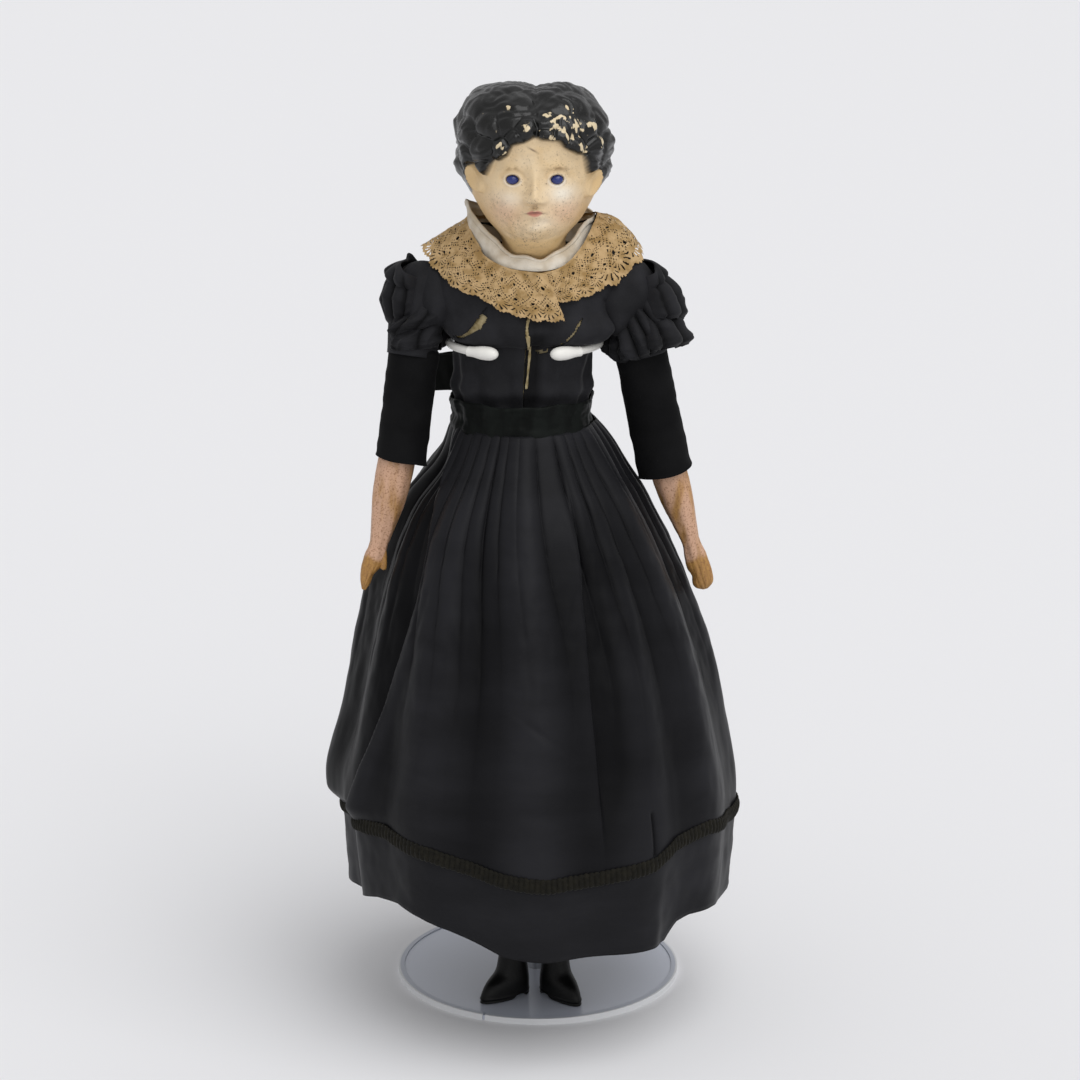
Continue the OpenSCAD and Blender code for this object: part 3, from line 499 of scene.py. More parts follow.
@dataclass(frozen=True)
class HeadPaint(Finish):
    """Oil paint over papier-mache: a cream face with dirt, painted shade and highlights, pink lips, and black
    hair worn to cream.
    """

    pale: str = "#eee4d2"
    yellow: str = "#d0ab6e"
    blush: str = "#e4b49a"
    dirt: str = "#5f4a41"
    lips: str = "#c8776f"
    brow: str = "#8d6f49"
    hair: str = "#10100f"
    bare: str = "#d9c7a4"
    skin_roughness: float = 0.5
    flake: float = 1.5
    flake_stretch: tuple[float, float, float] = (1.1, 1.1, 3.2)

    def detail(self, tree: Tree, shader: Node, place: Socket) -> tuple[Socket, float]:
        """Paint the face by its masks, then the hair over it.

        Args:
            tree: Node tree of the material.
            shader: Its main shader.
            place: Object coordinates in metres.

        Returns:
            The value of the paint's fine lumps, and their depth in millimetres.
        """
        streaked = add_node(tree, "Mapping", {"Vector": place, "Scale": [1 / s for s in self.flake_stretch]})
        cloud, smear, spot, lumps, flake = (
            add_node(tree, "TexNoise", {"Vector": at, "Scale": 1 / (size * MM), "Detail": detail}, "Fac")
            for at, size, detail in ((place, 8.0, 5.0), (place, 3.2, 6.0), (place, 0.9, 3.0),
                                     (place, 0.8, 4.0), (streaked, self.flake, 5.0))
        )
        mask = {
            name: add_node(tree, "Attribute", output="Fac", attribute_name=name)
            for name in ("yellow", "blush", "pale", "dirt", "brow", "lips", "line", "hair", "wear")
        }
        worn = add_node(tree, "Math", {0: mask["wear"], 1: flake}, operation="MULTIPLY")
        cloudy, smudge, specks, worn = (
            add_node(tree, "MapRange", {"Value": value, "From Min": low, "From Max": high}, **SMOOTH)
            for value, low, high in ((cloud, 0.42, 0.75), (smear, 0.38, 0.72), (spot, 0.56, 0.7),
                                     (worn, 0.32, 0.38))
        )
        faint = add_node(tree, "Math", {0: smudge, 1: 0.3}, operation="MULTIPLY")
        dirt_and_shade = add_node(tree, "Math", {0: specks, 1: 0.8, 2: faint}, operation="MULTIPLY_ADD")
        # The dirt and line layers also carry painted shade round the nose, the eyes and the lids, and the
        # pale layer carries painted highlights on the cheeks, the chin and the lids.
        layers = (
            (mask["yellow"], 0.6, self.yellow),
            (cloudy, 0.35, self.yellow),
            (mask["blush"], 0.42, self.blush),
            (mask["pale"], 1.0, self.pale),
            (mask["dirt"], dirt_and_shade, self.dirt),
            (mask["brow"], smudge, self.brow),
            (mask["lips"], 1.0, self.lips),
            (mask["line"], 1.0, self.dirt),
        )
        skin: Any = self.colour
        for where, strength, colour in layers:
            share = add_node(tree, "Math", {0: where, 1: strength}, operation="MULTIPLY")
            skin = add_node(tree, "Mix", {SHARE: share, LOW: skin, HIGH: colour}, **COLOURS)
        black = add_node(tree, "Mix", {SHARE: worn, LOW: self.hair, HIGH: self.bare}, **COLOURS)
        painted = add_node(tree, "Mix", {SHARE: mask["hair"], LOW: skin, HIGH: black}, **COLOURS)
        tree.links.new(painted, shader.inputs["Base Color"])
        gloss = {"Value": mask["hair"], "To Min": self.skin_roughness, "To Max": self.roughness}
        tree.links.new(add_node(tree, "MapRange", gloss), shader.inputs["Roughness"])
        return lumps, 0.08


# Wool twill, woven and fulled: a soft black that greys on its crests and takes little light.
WOOL = Cloth("black_wool_twill", "#18181a", 0.75, 0.15, sheen=0.05, shade="#252528", thread=0.6, depth=0.12)
# Silk taffeta, tightly woven: a deep grey-black with a low sheen, its dye uneven in bands round the skirt.
SILK = Cloth("black_silk_taffeta", "#19191b", 0.42, 0.07, sheen=0.01, shade="#252528", patch=26.0, thread=0.7,
             stretch=(3, 3, 1), depth=0.04)
# Satin ribbon, aged: nearly black, with a faint green cast where it has faded.
RIBBON = Cloth("black_satin_ribbon", "#070807", 0.5, 0.06, sheen=0.01, shade="#161917", patch=9.0, thread=0.6,
               stretch=(1, 1, 3), depth=0.06)
# Plaited wool braid: an olive black with a coarse thread.
BRAID = Cloth("olive_black_braid", "#0f0e0a", 0.8, 0.15, sheen=0.04, shade="#1b1912", patch=3.0, thread=0.8,
              depth=0.2)
# Darker wool for the sleeves: the deepest black of the dress.
SLEEVING = Cloth("black_worsted", "#0a0a0b", 0.85, 0.1, sheen=0.02, shade="#111112", thread=0.6, depth=0.1)
# Washed cotton muslin: a warm white, yellowed in patches.
COTTON = Cloth("white_cotton_muslin", "#e2dbce", 0.8, 0.3, shade="#c0b29c", patch=11.0, thread=0.6)
# Unbleached muslin, the skin of the stuffed body: a dull straw colour with darker stains.
MUSLIN = Cloth("unbleached_muslin", "#c9b894", 0.85, 0.25, shade="#a8946a", patch=16.0, thread=0.7)
# Glazed cotton lining that has gone dull and brown, as it shows in the tears.
LINING = Cloth("cream_lining", "#b3a582", 0.85, 0.25, shade="#75653f", patch=4.0, thread=0.5)
# Linen bobbin lace, tea-brown with age, with raised thread.
LACE = Cloth("ecru_bobbin_lace", "#c8aa7f", 0.8, 0.2, shade="#977a4d", patch=5.0, thread=0.6, depth=0.25)
# Linen sewing thread, waxed: a grey tan without gloss.
THREAD = Cloth("linen_thread", "#a5977a", 0.8, 0.3, shade="#7d6f55", patch=3.0, thread=0.5)
# Oil paint and varnish on pressed pulp: a matt cream face, and glossy black hair that has flaked.
HEAD = HeadPaint("oil_painted_papier_mache", "#e2c9a2", 0.25, 0.4)
# Enamelled glass: a deep blue under a clear, sharp highlight.
EYE = Finish("cobalt_glass_enamel", "#14286f", 0.1, 0.5, coat=0.4)
# Flesh paint on carved wood: pink where it holds, honey brown and grained where it has worn off.
ARM_WOOD = WornPaint("flesh_painted_wood", "#c8a085", 0.5, 0.4, under="#c1944f", dirt="#825936",
                     stretch=(1, 1, 4))
# Black gloss paint on carved wood, dulled by handling: black with a soft, broken highlight.
BOOT_PAINT = WornPaint("black_gloss_paint", "#060606", 0.45, 0.2, under="#0e0d0c", dirt="#040404")
# Stoved enamel on sheet steel: a smooth pale blue-grey that mirrors softly.
PLATE = Finish("pale_blue_enamel", "#c6cbd8", 0.25, 0.5, coat=0.25)
# Moulded plastic: plain white with a satin light.
WHITE = Finish("white_moulded_plastic", "#ecebe8", 0.35)
# The same plastic as a thin edging: the plate's grey on top, with a white line along its outer edge.
RIM = RimPlastic("white_rim_plastic", "#dfe0e2", 0.35)
# Plastic-coated wire: a warm white with a narrow highlight along it.
WIRE = Finish("white_coated_wire", "#e6e4de", 0.3)
# Soft vinyl, dipped: a warm white with a broad, dull highlight.
VINYL = Finish("white_vinyl_sleeve", "#e9e7e1", 0.4)
# Drawn steel tube: grey metal with a clear but soft reflection.
STEEL = Finish("drawn_steel", "#b4b6ba", 0.3, metallic=1.0)
# Studio paper: an even, matt pale grey.
PAPER = Finish("pale_paper_sweep", "#ebebed", 0.9, 0.1)


@dataclass(frozen=True)
class Stage:
    """Floor, light and camera of the studio."""

    eye: tuple[float, float, float] = (1.1, -1450.0, 618.5)
    tilt: float = 14.7
    lens: float = 96.34
    floor_size: float = 24.0
    key_from: tuple[float, float, float] = (0.55, -0.6, 1.5)
    key_power: float = 1.25
    fill_from: tuple[float, float, float] = (0.35, -1.2, 0.75)
    fill_power: float = 0.55
    light_width: float = 50.0
    sky: str = "#c4c4c5"

    def build(self) -> None:
        """Make the floor, the light and the camera."""
        scene = bpy.context.scene
        scene.view_settings.view_transform = "Standard"
        self.make_floor()
        world = bpy.data.worlds.new("studio")
        world.use_nodes = True
        world.node_tree.nodes["Background"].inputs["Color"].default_value = linear(self.sky)
        scene.world = world
        self.make_light("key", self.key_from, self.key_power)
        self.make_light("fill", self.fill_from, self.fill_power)
        camera = bpy.data.objects.new("camera", bpy.data.cameras.new("camera"))
        camera.data.lens = self.lens
        camera.data.sensor_width = 36.0
        camera.data.clip_end = 100.0
        camera.location = Vector(self.eye) * MM
        camera.rotation_euler = (radians(90.0 - self.tilt), 0.0, 0.0)
        scene.collection.objects.link(camera)
        scene.camera = camera

    def make_light(self, name: str, source: tuple[float, float, float], power: float) -> None:
        """Make one broad, soft light that shines from a direction.

        Args:
            name: Name of the lamp.
            source: Direction that the light comes from.
            power: Its strength.
        """
        lamp = bpy.data.objects.new(name, bpy.data.lights.new(name, "SUN"))
        lamp.data.energy = power
        lamp.data.angle = radians(self.light_width)
        lamp.rotation_euler = (-Vector(source)).to_track_quat("-Z", "Y").to_euler()
        bpy.context.scene.collection.objects.link(lamp)

    def make_floor(self) -> None:
        """Make the pale floor."""
        shape = bmesh.new()
        bmesh.ops.create_grid(shape, x_segments=8, y_segments=8, size=self.floor_size / 2)
        mesh = bpy.data.meshes.new("floor")
        shape.to_mesh(mesh)
        shape.free()
        floor = bpy.data.objects.new("floor", mesh)
        bpy.context.scene.collection.objects.link(floor)
        mesh.materials.append(PAPER.material())


def dress(piece: Piece, body: str | None, slot: str, finish: Finish, *nodes: str) -> Piece:
    """Give a new piece its finish, its body and the CAD nodes that it stands for.

    Args:
        piece: The finished mesh object.
        body: CAD body that it rides on, or None where it bends between two.
        slot: Material slot of the record; not used.
        finish: Material of the piece.
        nodes: CAD nodes that it stands for.

    Returns:
        The same object.
    """
    piece.data.materials.clear()
    piece.data.materials.append(finish.material())
    if body:
        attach(piece, body)
    if nodes:
        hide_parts(*nodes)
    stands_for = ", ".join(nodes) or "itself"
    LOG.info("%s: %d faces, stands for %s", piece.name, len(piece.data.polygons), stands_for)
    return piece


@dataclass(frozen=True)
class Stand:
    """Round base, upright and sprung clip, which keep their CAD shapes."""

    finishes: tuple[tuple[Finish, tuple[str, ...]], ...] = (
        (PLATE, ("stand_base",)),
        (RIM, ("base_edge_trim",)),
        (WHITE, ("rod_cap", "clip_bracket")),
        (STEEL, ("base_screw", "post_socket", "stand_tube", "lock_collar", "thumb_screw", "stand_rod")),
        (WIRE, ("clip_wire",)),
    )

    @staticmethod
    def build_tip(side: Side) -> None:
        """Make one soft sleeve on the clip's end, drawn in over the wire and rounded at its tip.

        Args:
            side: Side of the clip.
        """
        node = f"clip_tip_{side.word}"
        points, axes = main_axes(node)
        middle = (points.min(axis=0) + points.max(axis=0)) / 2
        along = axes[0] * np.sign(-axes[0][0] * side.value)
        across = np.cross(along, (0, 0, 1))
        across /= np.linalg.norm(across)
        up = np.cross(across, along)
        half, radius = np.abs((points - middle) @ along).max(), np.abs((points - middle) @ across).max()

        def surface(u: Array, v: Array) -> Array:
            """Run the sleeve from the wire to the tip.

            Args:
                u: Share round.
                v: Share along.

            Returns:
                Points.
            """
            a, t = u * 360, np.clip((v - 0.06) / 0.94, 0, 1)
            tip = np.sqrt(np.maximum(1 - np.clip((t - 0.62) / 0.38, 0, 1) ** 2.4, 0))
            r = radius * (0.74 + 0.26 * ease((t - 0.1) / 0.45)) * tip * np.clip(v / 0.06, 0, 1)
            reach = mix(-half, half, t)
            return (middle + np.outer(reach, along) + np.outer(r * cosd(a), across)
                    + np.outer(r * 0.9 * sind(a), up))

        sleeve = lay_grid(f"vinyl_tip_{side.word}", 40, 40, surface, weld=True)
        dress(sleeve, "doll", "vinyl", VINYL, node)

    def build(self) -> None:
        """Put the finishes on the CAD nodes."""
        for finish, nodes in self.finishes:
            for node in nodes:
                mesh = frame["nodes"][node].data
                mesh.materials.clear()
                mesh.materials.append(finish.material())
                LOG.info("%s: %s", node, finish.name)
        for side in Side:
            self.build_tip(side)


@dataclass(frozen=True)
class BodyForm:
    """Stuffed body that the clothes lie on: rings from the hips to the neck."""

    x: float
    y: float
    hip_z: float
    clip_z: float
    rise: float = 42.0
    neck_row: float = 8.75

    def rows(self) -> Array:
        """Return height, half width, half depth and middle X of each ring.

        Returns:
            One row per ring, from the hips to the neck.
        """
        x, up = self.x, self.clip_z + self.rise * np.array([0.107, 0.25, 0.405, 0.667, 0.881, 1.0])
        return np.array([
            (self.hip_z + 1.5, 29.7, 22.95, x + 3),
            (self.hip_z + 20, 33, 27, x + 0.5),
            (self.hip_z + 48, 28.5, 23.5, x - 2),
            (up[0], 30.5, 26, x - 0.5),
            (up[1], 35.5, 28.5, x),
            (up[2], 38.5, 29, x),
            (up[3], 41.5, 27, x),
            (up[4], 38.5, 22, x + 1),
            (up[5], 29.5, 19, x + 2),
            (up[5] + 2, 19, 16, x + 4),
        ])

    def at(self, angle: Array, row: Array) -> Array:
        """Return points of the body at angles and row numbers."""
        z, wide, deep, middle = spline(self.rows(), row).T
        return xyz(middle + wide * cosd(angle), self.y + deep * sind(angle), z)

    def off(self, angle: Array, row: Array, lift: Any) -> Array:
        """Return points lifted off the body along its normal, in millimetres.

        Args:
            angle: Degrees round the body.
            row: Ring numbers.
            lift: Distance off the body.

        Returns:
            Points.
        """
        across = self.at(angle + 1, row) - self.at(angle - 1, row)
        up = self.at(angle, row + 0.02) - self.at(angle, row - 0.02)
        normal = np.cross(across, up)
        normal /= np.linalg.norm(normal, axis=1, keepdims=True)
        return self.at(angle, row) + np.broadcast_to(lift, angle.shape)[:, None] * normal


@dataclass(frozen=True)
class Curl:
    """One moulded curl: degrees from the front, height over the chin, radius, and turn of its spiral."""

    turn: float
    height: float
    size: float
    twist: int = 1


@dataclass(frozen=True)
class Head:
    """Moulded head with its hair, face, neck and shoulder plate; heights are over the chin's underside."""

    form: BodyForm
    x: float
    chin_z: float
    columns: int = 310
    rows: int = 260
    plate: float = 0.08
    hair_t: float = 2.6
    eye_gap: float = 10.5
    eye_h: float = 34.4
    eye_w: float = 3.05
    eye_tall: float = 2.3
    face_x: float = 0.6
    hairline: tuple[tuple[float, float], ...] = (
        (-180, 19), (-112, 20), (-90, 22), (-72, 26), (-66, 31), (-63, 39), (-55, 40.5), (-48.5, 38.5),
        (-41, 35.3), (-35, 39.5), (-33, 43.8), (-27, 43.2), (-18.5, 46.5), (-17, 50.5), (-6, 52.3),
        (1.8, 54.9), (6, 53.2), (19, 52.6), (25.5, 49), (37.5, 45.6), (42.5, 46), (44, 40.5), (47.8, 36),
        (57, 37.4), (65, 37.4), (68, 31), (74, 26), (92, 22), (112, 20), (180, 19),
    )
    front_curls: tuple[Curl, ...] = (
        Curl(-17, 69, 11), Curl(30, 68, 11, -1), Curl(-58, 66, 10), Curl(-21, 62, 7, -1),
        Curl(-38, 59.5, 7.5), Curl(-62, 55, 8.5), Curl(-6, 57.5, 6.5, -1), Curl(-14, 54, 5),
        Curl(-24, 48, 5.8, -1), Curl(-42, 48, 7), Curl(-41, 39, 5.5, -1), Curl(12, 61, 7),
        Curl(30, 59, 7.5, -1), Curl(10, 55.5, 5.5), Curl(21, 54.5, 5.5, -1), Curl(33, 50, 6),
        Curl(47, 57.5, 7.5), Curl(53, 49, 7, -1), Curl(76, 62, 10), Curl(49, 67, 9, -1), Curl(49, 41, 6),
        Curl(80, 48, 9), Curl(-92, 58, 10, -1), Curl(-64, 45.5, 6.5), Curl(12, 73, 10),
        Curl(-50, 73, 10, -1), Curl(75, 73, 10), Curl(-86, 38, 8), Curl(84, 34, 8, -1),
    )
    worn: tuple[tuple[float, float, float], ...] = (
        (-23, 65, 3.0), (-28, 57, 3.2), (-6.5, 58.5, 4.0), (-43, 62, 2.4), (-24, 50, 2.8),
        (-20, 47.5, 1.8), (33, 65.5, 3.0), (12, 63, 3.4), (17, 59.5, 3.8), (22, 57, 4.4), (31, 58, 4.0),
        (38.5, 60, 4.0), (46, 57.5, 4.0), (29, 54, 3.6), (8.5, 55, 3.0), (15, 55, 2.6), (56, 51, 3.6),
        (40, 48.5, 3.2), (34, 50, 2.8),
    )
    ears: tuple[tuple[float, float], ...] = ((-55.5, 33.8), (59.0, 31.6))

    def rings(self) -> Array:
        """Return height over the chin, half width, front depth and back depth from the neck to the crown.

        Returns:
            One row per ring.
        """
        low = [
            (-6.5, 17, 19.5, 18), (-3, 15.8, 23, 19.5), (0.5, 15.6, 27, 21.5), (3.6, 16.8, 30.4, 24),
            (6.6, 19, 33.8, 26.5), (12, 23.5, 36.4, 30), (20, 28.2, 38, 34), (28, 31.9, 39, 37),
            (36, 33.8, 39, 38), (45, 34.5, 39, 39),
        ]
        crown = [(50 + 26.0 * sind(t), 34.5 * cosd(t) ** 0.82, 39 * cosd(t) ** 0.9, 39 * cosd(t) ** 0.9)
                 for t in (5, 25, 45, 62, 78, 90)]
        return np.array(low + crown)

    def skull(self, turn: Array, ring: Array) -> Array:
        """Return points of the bare skull, relative to the chin.

        Args:
            turn: Degrees from the front.
            ring: Ring numbers.

        Returns:
            Points.
        """
        h, wide, front, back = spline(self.rings(), ring).T
        across, ahead = sind(turn), cosd(turn)
        return xyz(np.maximum(wide, 0) * across, -np.maximum(np.where(ahead > 0, front, back), 0) * ahead, h)

    def spot(self, turn: float, height: float) -> Array:
        """Return the skull's point at an angle from the front and a height."""
        line = self.skull(np.full(600, turn, float), np.linspace(0, len(self.rings()) - 1, 600))
        return line[np.argmin(np.abs(line[:, 2] - height))]

    def curls(self) -> list[Curl]:
        """Return the front curls, and rows of curls round the back.

        Returns:
            All the curls.
        """
        behind = [
            Curl(wrapped(turn + shift), height, 9.0, 1 if i % 2 else -1)
            for height, shift in ((68, 0), (56, 14), (43, 4), (29, 16))
            for i, turn in enumerate(range(104, 258, 28))
        ]
        return [*self.front_curls, *behind]

    def face(self, x: Array, h: Array) -> Array:
        """Return how far the face stands out in front of the smooth skull.

        Args:
            x: Distance from the face's middle line.
            h: Height over the chin.

        Returns:
            Relief in millimetres.
        """
        bridge = ease((h - 22.2) / 2.8) * np.clip((44 - h) / 18.5, 0, 1) ** 1.3
        out = 7.6 * bump(x, mix(3.9, 2.5, ease((h - 25) / 9))) * bridge
        out += 1.6 * (bump(x - 3.9, 1.8) + bump(x + 3.9, 1.8)) * bump(h - 24.2, 1.9)
        out += 2.0 * bump(x, 9) * bump(h - 18.5, 7) - 0.7 * bump(x, 1.1) * bump(h - 22, 1.2)
        out += 1.0 * bump(h - 20.3 + 0.04 * x * x, 0.9) * bump(x, 4.2) * (1 - 0.4 * bump(x, 0.8))
        out += 1.2 * bump(h - 17.5 + 0.02 * x * x, 1.2) * bump(x, 3.6)
        out -= 1.0 * bump(h - 19.1 + 0.02 * x * x, 0.45) * bump(x, 4.9)
        out += 2.6 * bump(x, 7.5) * bump(h - 9.5, 4.4) - 0.9 * bump(h - 14.2, 1.3) * bump(x, 6)
        out += 1.1 * bump(h - 1.5, 2.2) * bump(x, 13) - 1.5 * bump(h - 5.0 - 0.012 * x * x, 1.1) * bump(x, 14)
        out += 1.3 * (bump(x - 16, 9) + bump(x + 16, 9)) * bump(h - 21, 8)
        out += 0.9 * bump(h - 40, 2.6) * (bump(x - 11, 6) + bump(x + 11, 6))
        beside_mouth = bump(x - 7 - 0.45 * (23 - h), 1.6) + bump(x + 7 + 0.45 * (23 - h), 1.6)
        out -= 0.6 * beside_mouth * bump(h - 20, 4)
        for side in Side:
            dx, dh = x - side.value * self.eye_gap, h - self.eye_h
            oval = np.hypot(dx / self.eye_w, dh / self.eye_tall)
            out -= 2.4 * bump(dx, 6.5) * bump(dh, 4.4)
            out += 0.95 * bump(oval - 1.3, 0.26) * (0.75 + 0.25 * ease(dh)) - 1.7 * ease((1.1 - oval) * 4)
            out -= 0.5 * bump(np.hypot(dx / self.eye_w, (dh - 0.6) / self.eye_tall) - 1.85, 0.2) * ease(dh)
        return out

    def hair(self, skull: Array, turn: Array) -> tuple[Array, Array, Array]:
        """Work out the moulded hair: locks that curl round centres, with furrows between them.

        Args:
            skull: Points of the bare skull.
            turn: Their angles from the front.

        Returns:
            Share of hair from 0 to 1, its height over the skull in millimetres, and how far it is a ridge.
        """
        lines = [lookup(turn + shift, self.hairline) for shift in (-1.6, -0.8, 0, 0.8, 1.6)]
        above = skull[:, 2] - sum(lines) / 5
        share = ease(above / np.hypot(1, (lines[4] - lines[0]) / 1.9) / 1.1 + 0.5)
        near, other, strand = np.full(len(skull), 9.0), np.full(len(skull), 9.0), np.zeros(len(skull))
        for curl in self.curls():
            centre = self.spot(curl.turn, curl.height)
            away = skull - centre
            distance = np.linalg.norm(away, axis=1)
            reach = distance / curl.size
            aside = np.array(Vector((-centre[1], centre[0], 0.0)).normalized())
            round_it = np.arctan2(away[:, 2], away @ aside)
            closer = reach < near
            strand = np.where(closer, np.sin(reach * 5.0 + curl.twist * round_it), strand)
            other = np.where(closer, near, np.minimum(other, reach))
            near = np.minimum(near, reach)
        furrow = bump(other - near, 0.2)
        ridge = strand * (1 - bump(other - near, 0.3))
        parting = bump(skull[:, 0] - 1.0, 1.3) * ease((skull[:, 2] - 50) / 4)
        valley = bump(skull[:, 0] - 1.0, 9.0) * ease((skull[:, 2] - 60) / 12)
        low = 0.2 + 0.8 * ease((skull[:, 2] - 24) / 15)
        crown = ease((skull[:, 2] - 57) / 7)
        drawn = skull[:, 2] * 0.9 + np.abs(skull[:, 0]) * 0.55 + 8.0 * rough(skull, 15.0, 2, 9.0)
        ridge = mix(ridge, np.sin(drawn * 1.5), mix(0.45, 0.75, crown))
        height = self.hair_t * ease(above / 3.5 + 0.3) + mix(2.5, 1.1, crown) * bump(near, 0.85)
        height += mix(0.5, 0.26, crown) * ridge - mix(0.8, 0.15, crown) * furrow
        height += 0.6 * rough(skull, 9.0, 2) - 0.9 * parting - 3.0 * valley
        height = height * low + 2.6 * bump(skull[:, 0] + 25, 9) * bump(skull[:, 2] - 66, 8)
        return share, share * height, ridge

    def ear(self, turn: Array, h: Array) -> Array:
        """Return how far the ears stand off the head.

        Args:
            turn: Degrees from the front.
            h: Heights over the chin.

        Returns:
            Heights in millimetres.
        """
        out = np.zeros(len(turn))
        for side, (middle, height) in zip(Side, self.ears):
            back = (turn - middle) * 0.56 * side.value - 0.3 * (h - height)
            oval = np.hypot(back / 4.3, (h - height) / 7.4)
            rim = 0.6 * bump(oval - 0.82, 0.14) - 1.3 * bump(oval, 0.45)
            out += ease((1.05 - oval) * 3) * (2.3 + 0.35 * back) + rim
        return out

    def surface(self, u: Array, v: Array) -> Array:
        """Return the outside of the head, from the plate's edge up to the crown."""
        return self.model(u, v)[0]

    def model(self, u: Array, v: Array) -> tuple[Array, Array, Array, Array, Array]:
        """Shape the head.

        Args:
            u: Share of the way round, with the face at the middle.
            v: Share of the way from the shoulder plate to the crown.

        Returns:
            Points, angles from the front, skull points, shares of hair, and ridges of the hair.
        """
        wide = (u - 0.5) * 360
        turn = wide - 26 * sind(wide)
        last = len(self.rings()) - 1
        ring = np.clip((v - self.plate) / (1 - self.plate), 0, 1) * last
        skull = self.skull(turn, ring)
        across = self.skull(turn + 0.5, ring) - self.skull(turn - 0.5, ring)
        up = self.skull(turn, np.minimum(ring + 0.05, last)) - self.skull(turn, np.maximum(ring - 0.05, 0))
        normal = np.cross(across, up)
        size = np.linalg.norm(normal, axis=1, keepdims=True)
        normal = np.where(size > 1e-9, normal / np.maximum(size, 1e-9), (0, 0, 1))
        share, height, ridge = self.hair(skull, turn)
        ear = self.ear(turn, skull[:, 2]) * (1 - share)
        relief = self.face(skull[:, 0] - self.face_x, skull[:, 2]) * np.maximum(cosd(turn), 0) * (1 - share)
        lumps = 0.2 * rough(skull, 7.0, 3, 4.0)
        points = skull + normal * (height + ear + lumps)[:, None] + xyz(0 * relief, -relief, 0 * relief)
        points += np.array((self.x, self.form.y, self.chin_z))
        low = np.clip(v / self.plate, 0, 1)
        edge = 4.9 + 2.5 * np.abs(sind(turn)) ** 4
        plate = self.form.off(turn - 90, mix(edge, self.form.neck_row, low), 1.8)
        points = np.where((v < self.plate - 1e-6)[:, None], plate, points)
        return points, turn, skull, np.where(v < self.plate, 0, share), ridge

    def masks(self, u: Array, v: Array) -> dict[str, Array]:
        """Return the painted masks of the face and the hair.

        Args:
            u: Share round.
            v: Share up.

        Returns:
            Values from 0 to 1 by name.
        """
        _, turn, skull, share, ridge = self.model(u, v)
        x, h = skull[:, 0] - self.face_x, skull[:, 2]
        front = ease((cosd(turn) - 0.1) / 0.3)
        wear = np.zeros(len(u))
        for turned, height, size in self.worn:
            wear = np.maximum(wear, bump(np.linalg.norm(skull - self.spot(turned, height), axis=1), size))
        wear = wear * (0.62 + 0.38 * ease(ridge + 0.4))
        patchy = ease((rough(skull * (0.45, 0.45, 1.2), 2.2, 2, 5.0) + 0.45) / 0.3)
        streak = (0.5 + 0.5 * ease(ridge * 1.5)) * patchy
        wear = np.maximum(wear, streak * ease(1.9 * bump(skull[:, 0] - 14.5, 13) * bump(h - 57.5, 6)) * front)
        middle = 19.1 - 0.02 * x * x
        bow = 1.5 * ease((5.2 - np.abs(x)) / 4.4) * (1 - 0.45 * bump(x, 1.0))
        lip = np.minimum(middle + bow - h, h - middle + 1.8 * (1 - (x / 4.0) ** 2))
        # Each row is X, height over the chin, radius and strength of a dark spot: dirt on the cheeks, chin,
        # nose tip, brows and forehead, and painted shade under the nose, along its sides and at the inner eye
        # corners.
        dirt_and_shade_spots = [
            (-14, 15.5, 7, 0.5), (14.5, 18, 8, 0.65), (-2, 7.5, 8, 1.0), (0.3, 25, 2.1, 1.0),
            (-1, 22.8, 2.2, 0.9), (0, 31, 3, 0.4), (-6, 47, 10, 0.3), (12, 42, 7, 0.45), (-19, 24, 5, 0.5),
            (18, 36, 6, 0.4), (5.6, 33.5, 2.2, 1.0), (-5.6, 33, 2.2, 0.9), (-4, 28, 2.0, 0.6),
            (4.5, 27, 1.8, 0.5),
        ]
        dirt = 0.1 + sum(s * bump(x - cx, r) * bump(h - ch, r) for cx, ch, r, s in dirt_and_shade_spots)
        # Each row is X, height over the chin, radius and strength of a pale patch: paler paint, and on the
        # cheeks and chin a painted highlight.
        patches = [
            (13, 28, 6.5, 1.0), (-12, 26, 6, 0.55), (4, 14.5, 5, 0.45), (-4, 43, 6, 0.15), (0, 12, 3, 0.3),
        ]
        pale = sum(s * bump(x - cx, r) * bump(h - ch, r * 0.7) for cx, ch, r, s in patches)
        blush = sum(bump(x - cx, 8) * bump(h - 19, 7) for cx in (-14, 14.5))
        brow = sum(bump(h - 40.2 + 0.02 * (x - s * 10) ** 2, 0.9) * bump(x - s * 11, 5) for s in (-1, 1))
        scratch = bump(h - 49 + 0.53 * (x + 0.9), 0.4) * bump(x + 0.9, 2.2)
        line = scratch + 1.0 * bump(h - middle, 0.3) * bump(x, 4.8)
        for side in Side:
            dx, dh = x - side.value * self.eye_gap, h - self.eye_h
            oval = np.hypot(dx / self.eye_w, dh / self.eye_tall)
            # A pale ring round each eye, strongest below: pale paint on the lids, with a painted highlight.
            pale = pale + 0.55 * bump(oval - 1.3, 0.22) * (0.5 + 0.5 * ease(0.5 - dh))
            # A dark line on the upper part of each eye's rim: a painted shadow of the lid.
            line = line + 0.7 * bump(oval - 1.06, 0.09) * ease(dh + 0.3)
        yellow = ease((np.abs(turn) - 35) / 30) + ease((7 - h) / 4)
        yellow = yellow + 0.6 * bump(np.abs(x) - 10.5, 5) * bump(h - 40, 4)
        return {
            "hair": share,
            "wear": wear * share,
            "lips": np.clip(ease((lip + 0.2) / 0.7) * 0.8, 0, 1) * front,
            "dirt": np.clip(dirt, 0, 1) * front,
            "pale": np.clip(pale, 0, 1) * front,
            "brow": brow * front * 0.9,
            "line": np.clip(line, 0, 1) * front,
            "yellow": np.clip(yellow, 0, 1),
            "blush": blush * front,
        }

    def build(self) -> None:
        """Make the head and its two glass eyes."""
        head = lay_grid("moulded_head", self.columns, self.rows, self.surface, self.masks, weld=True)
        dress(head, "doll", "papier_mache", HEAD, "head_shell")
        for side in Side:
            self.build_eye(side)

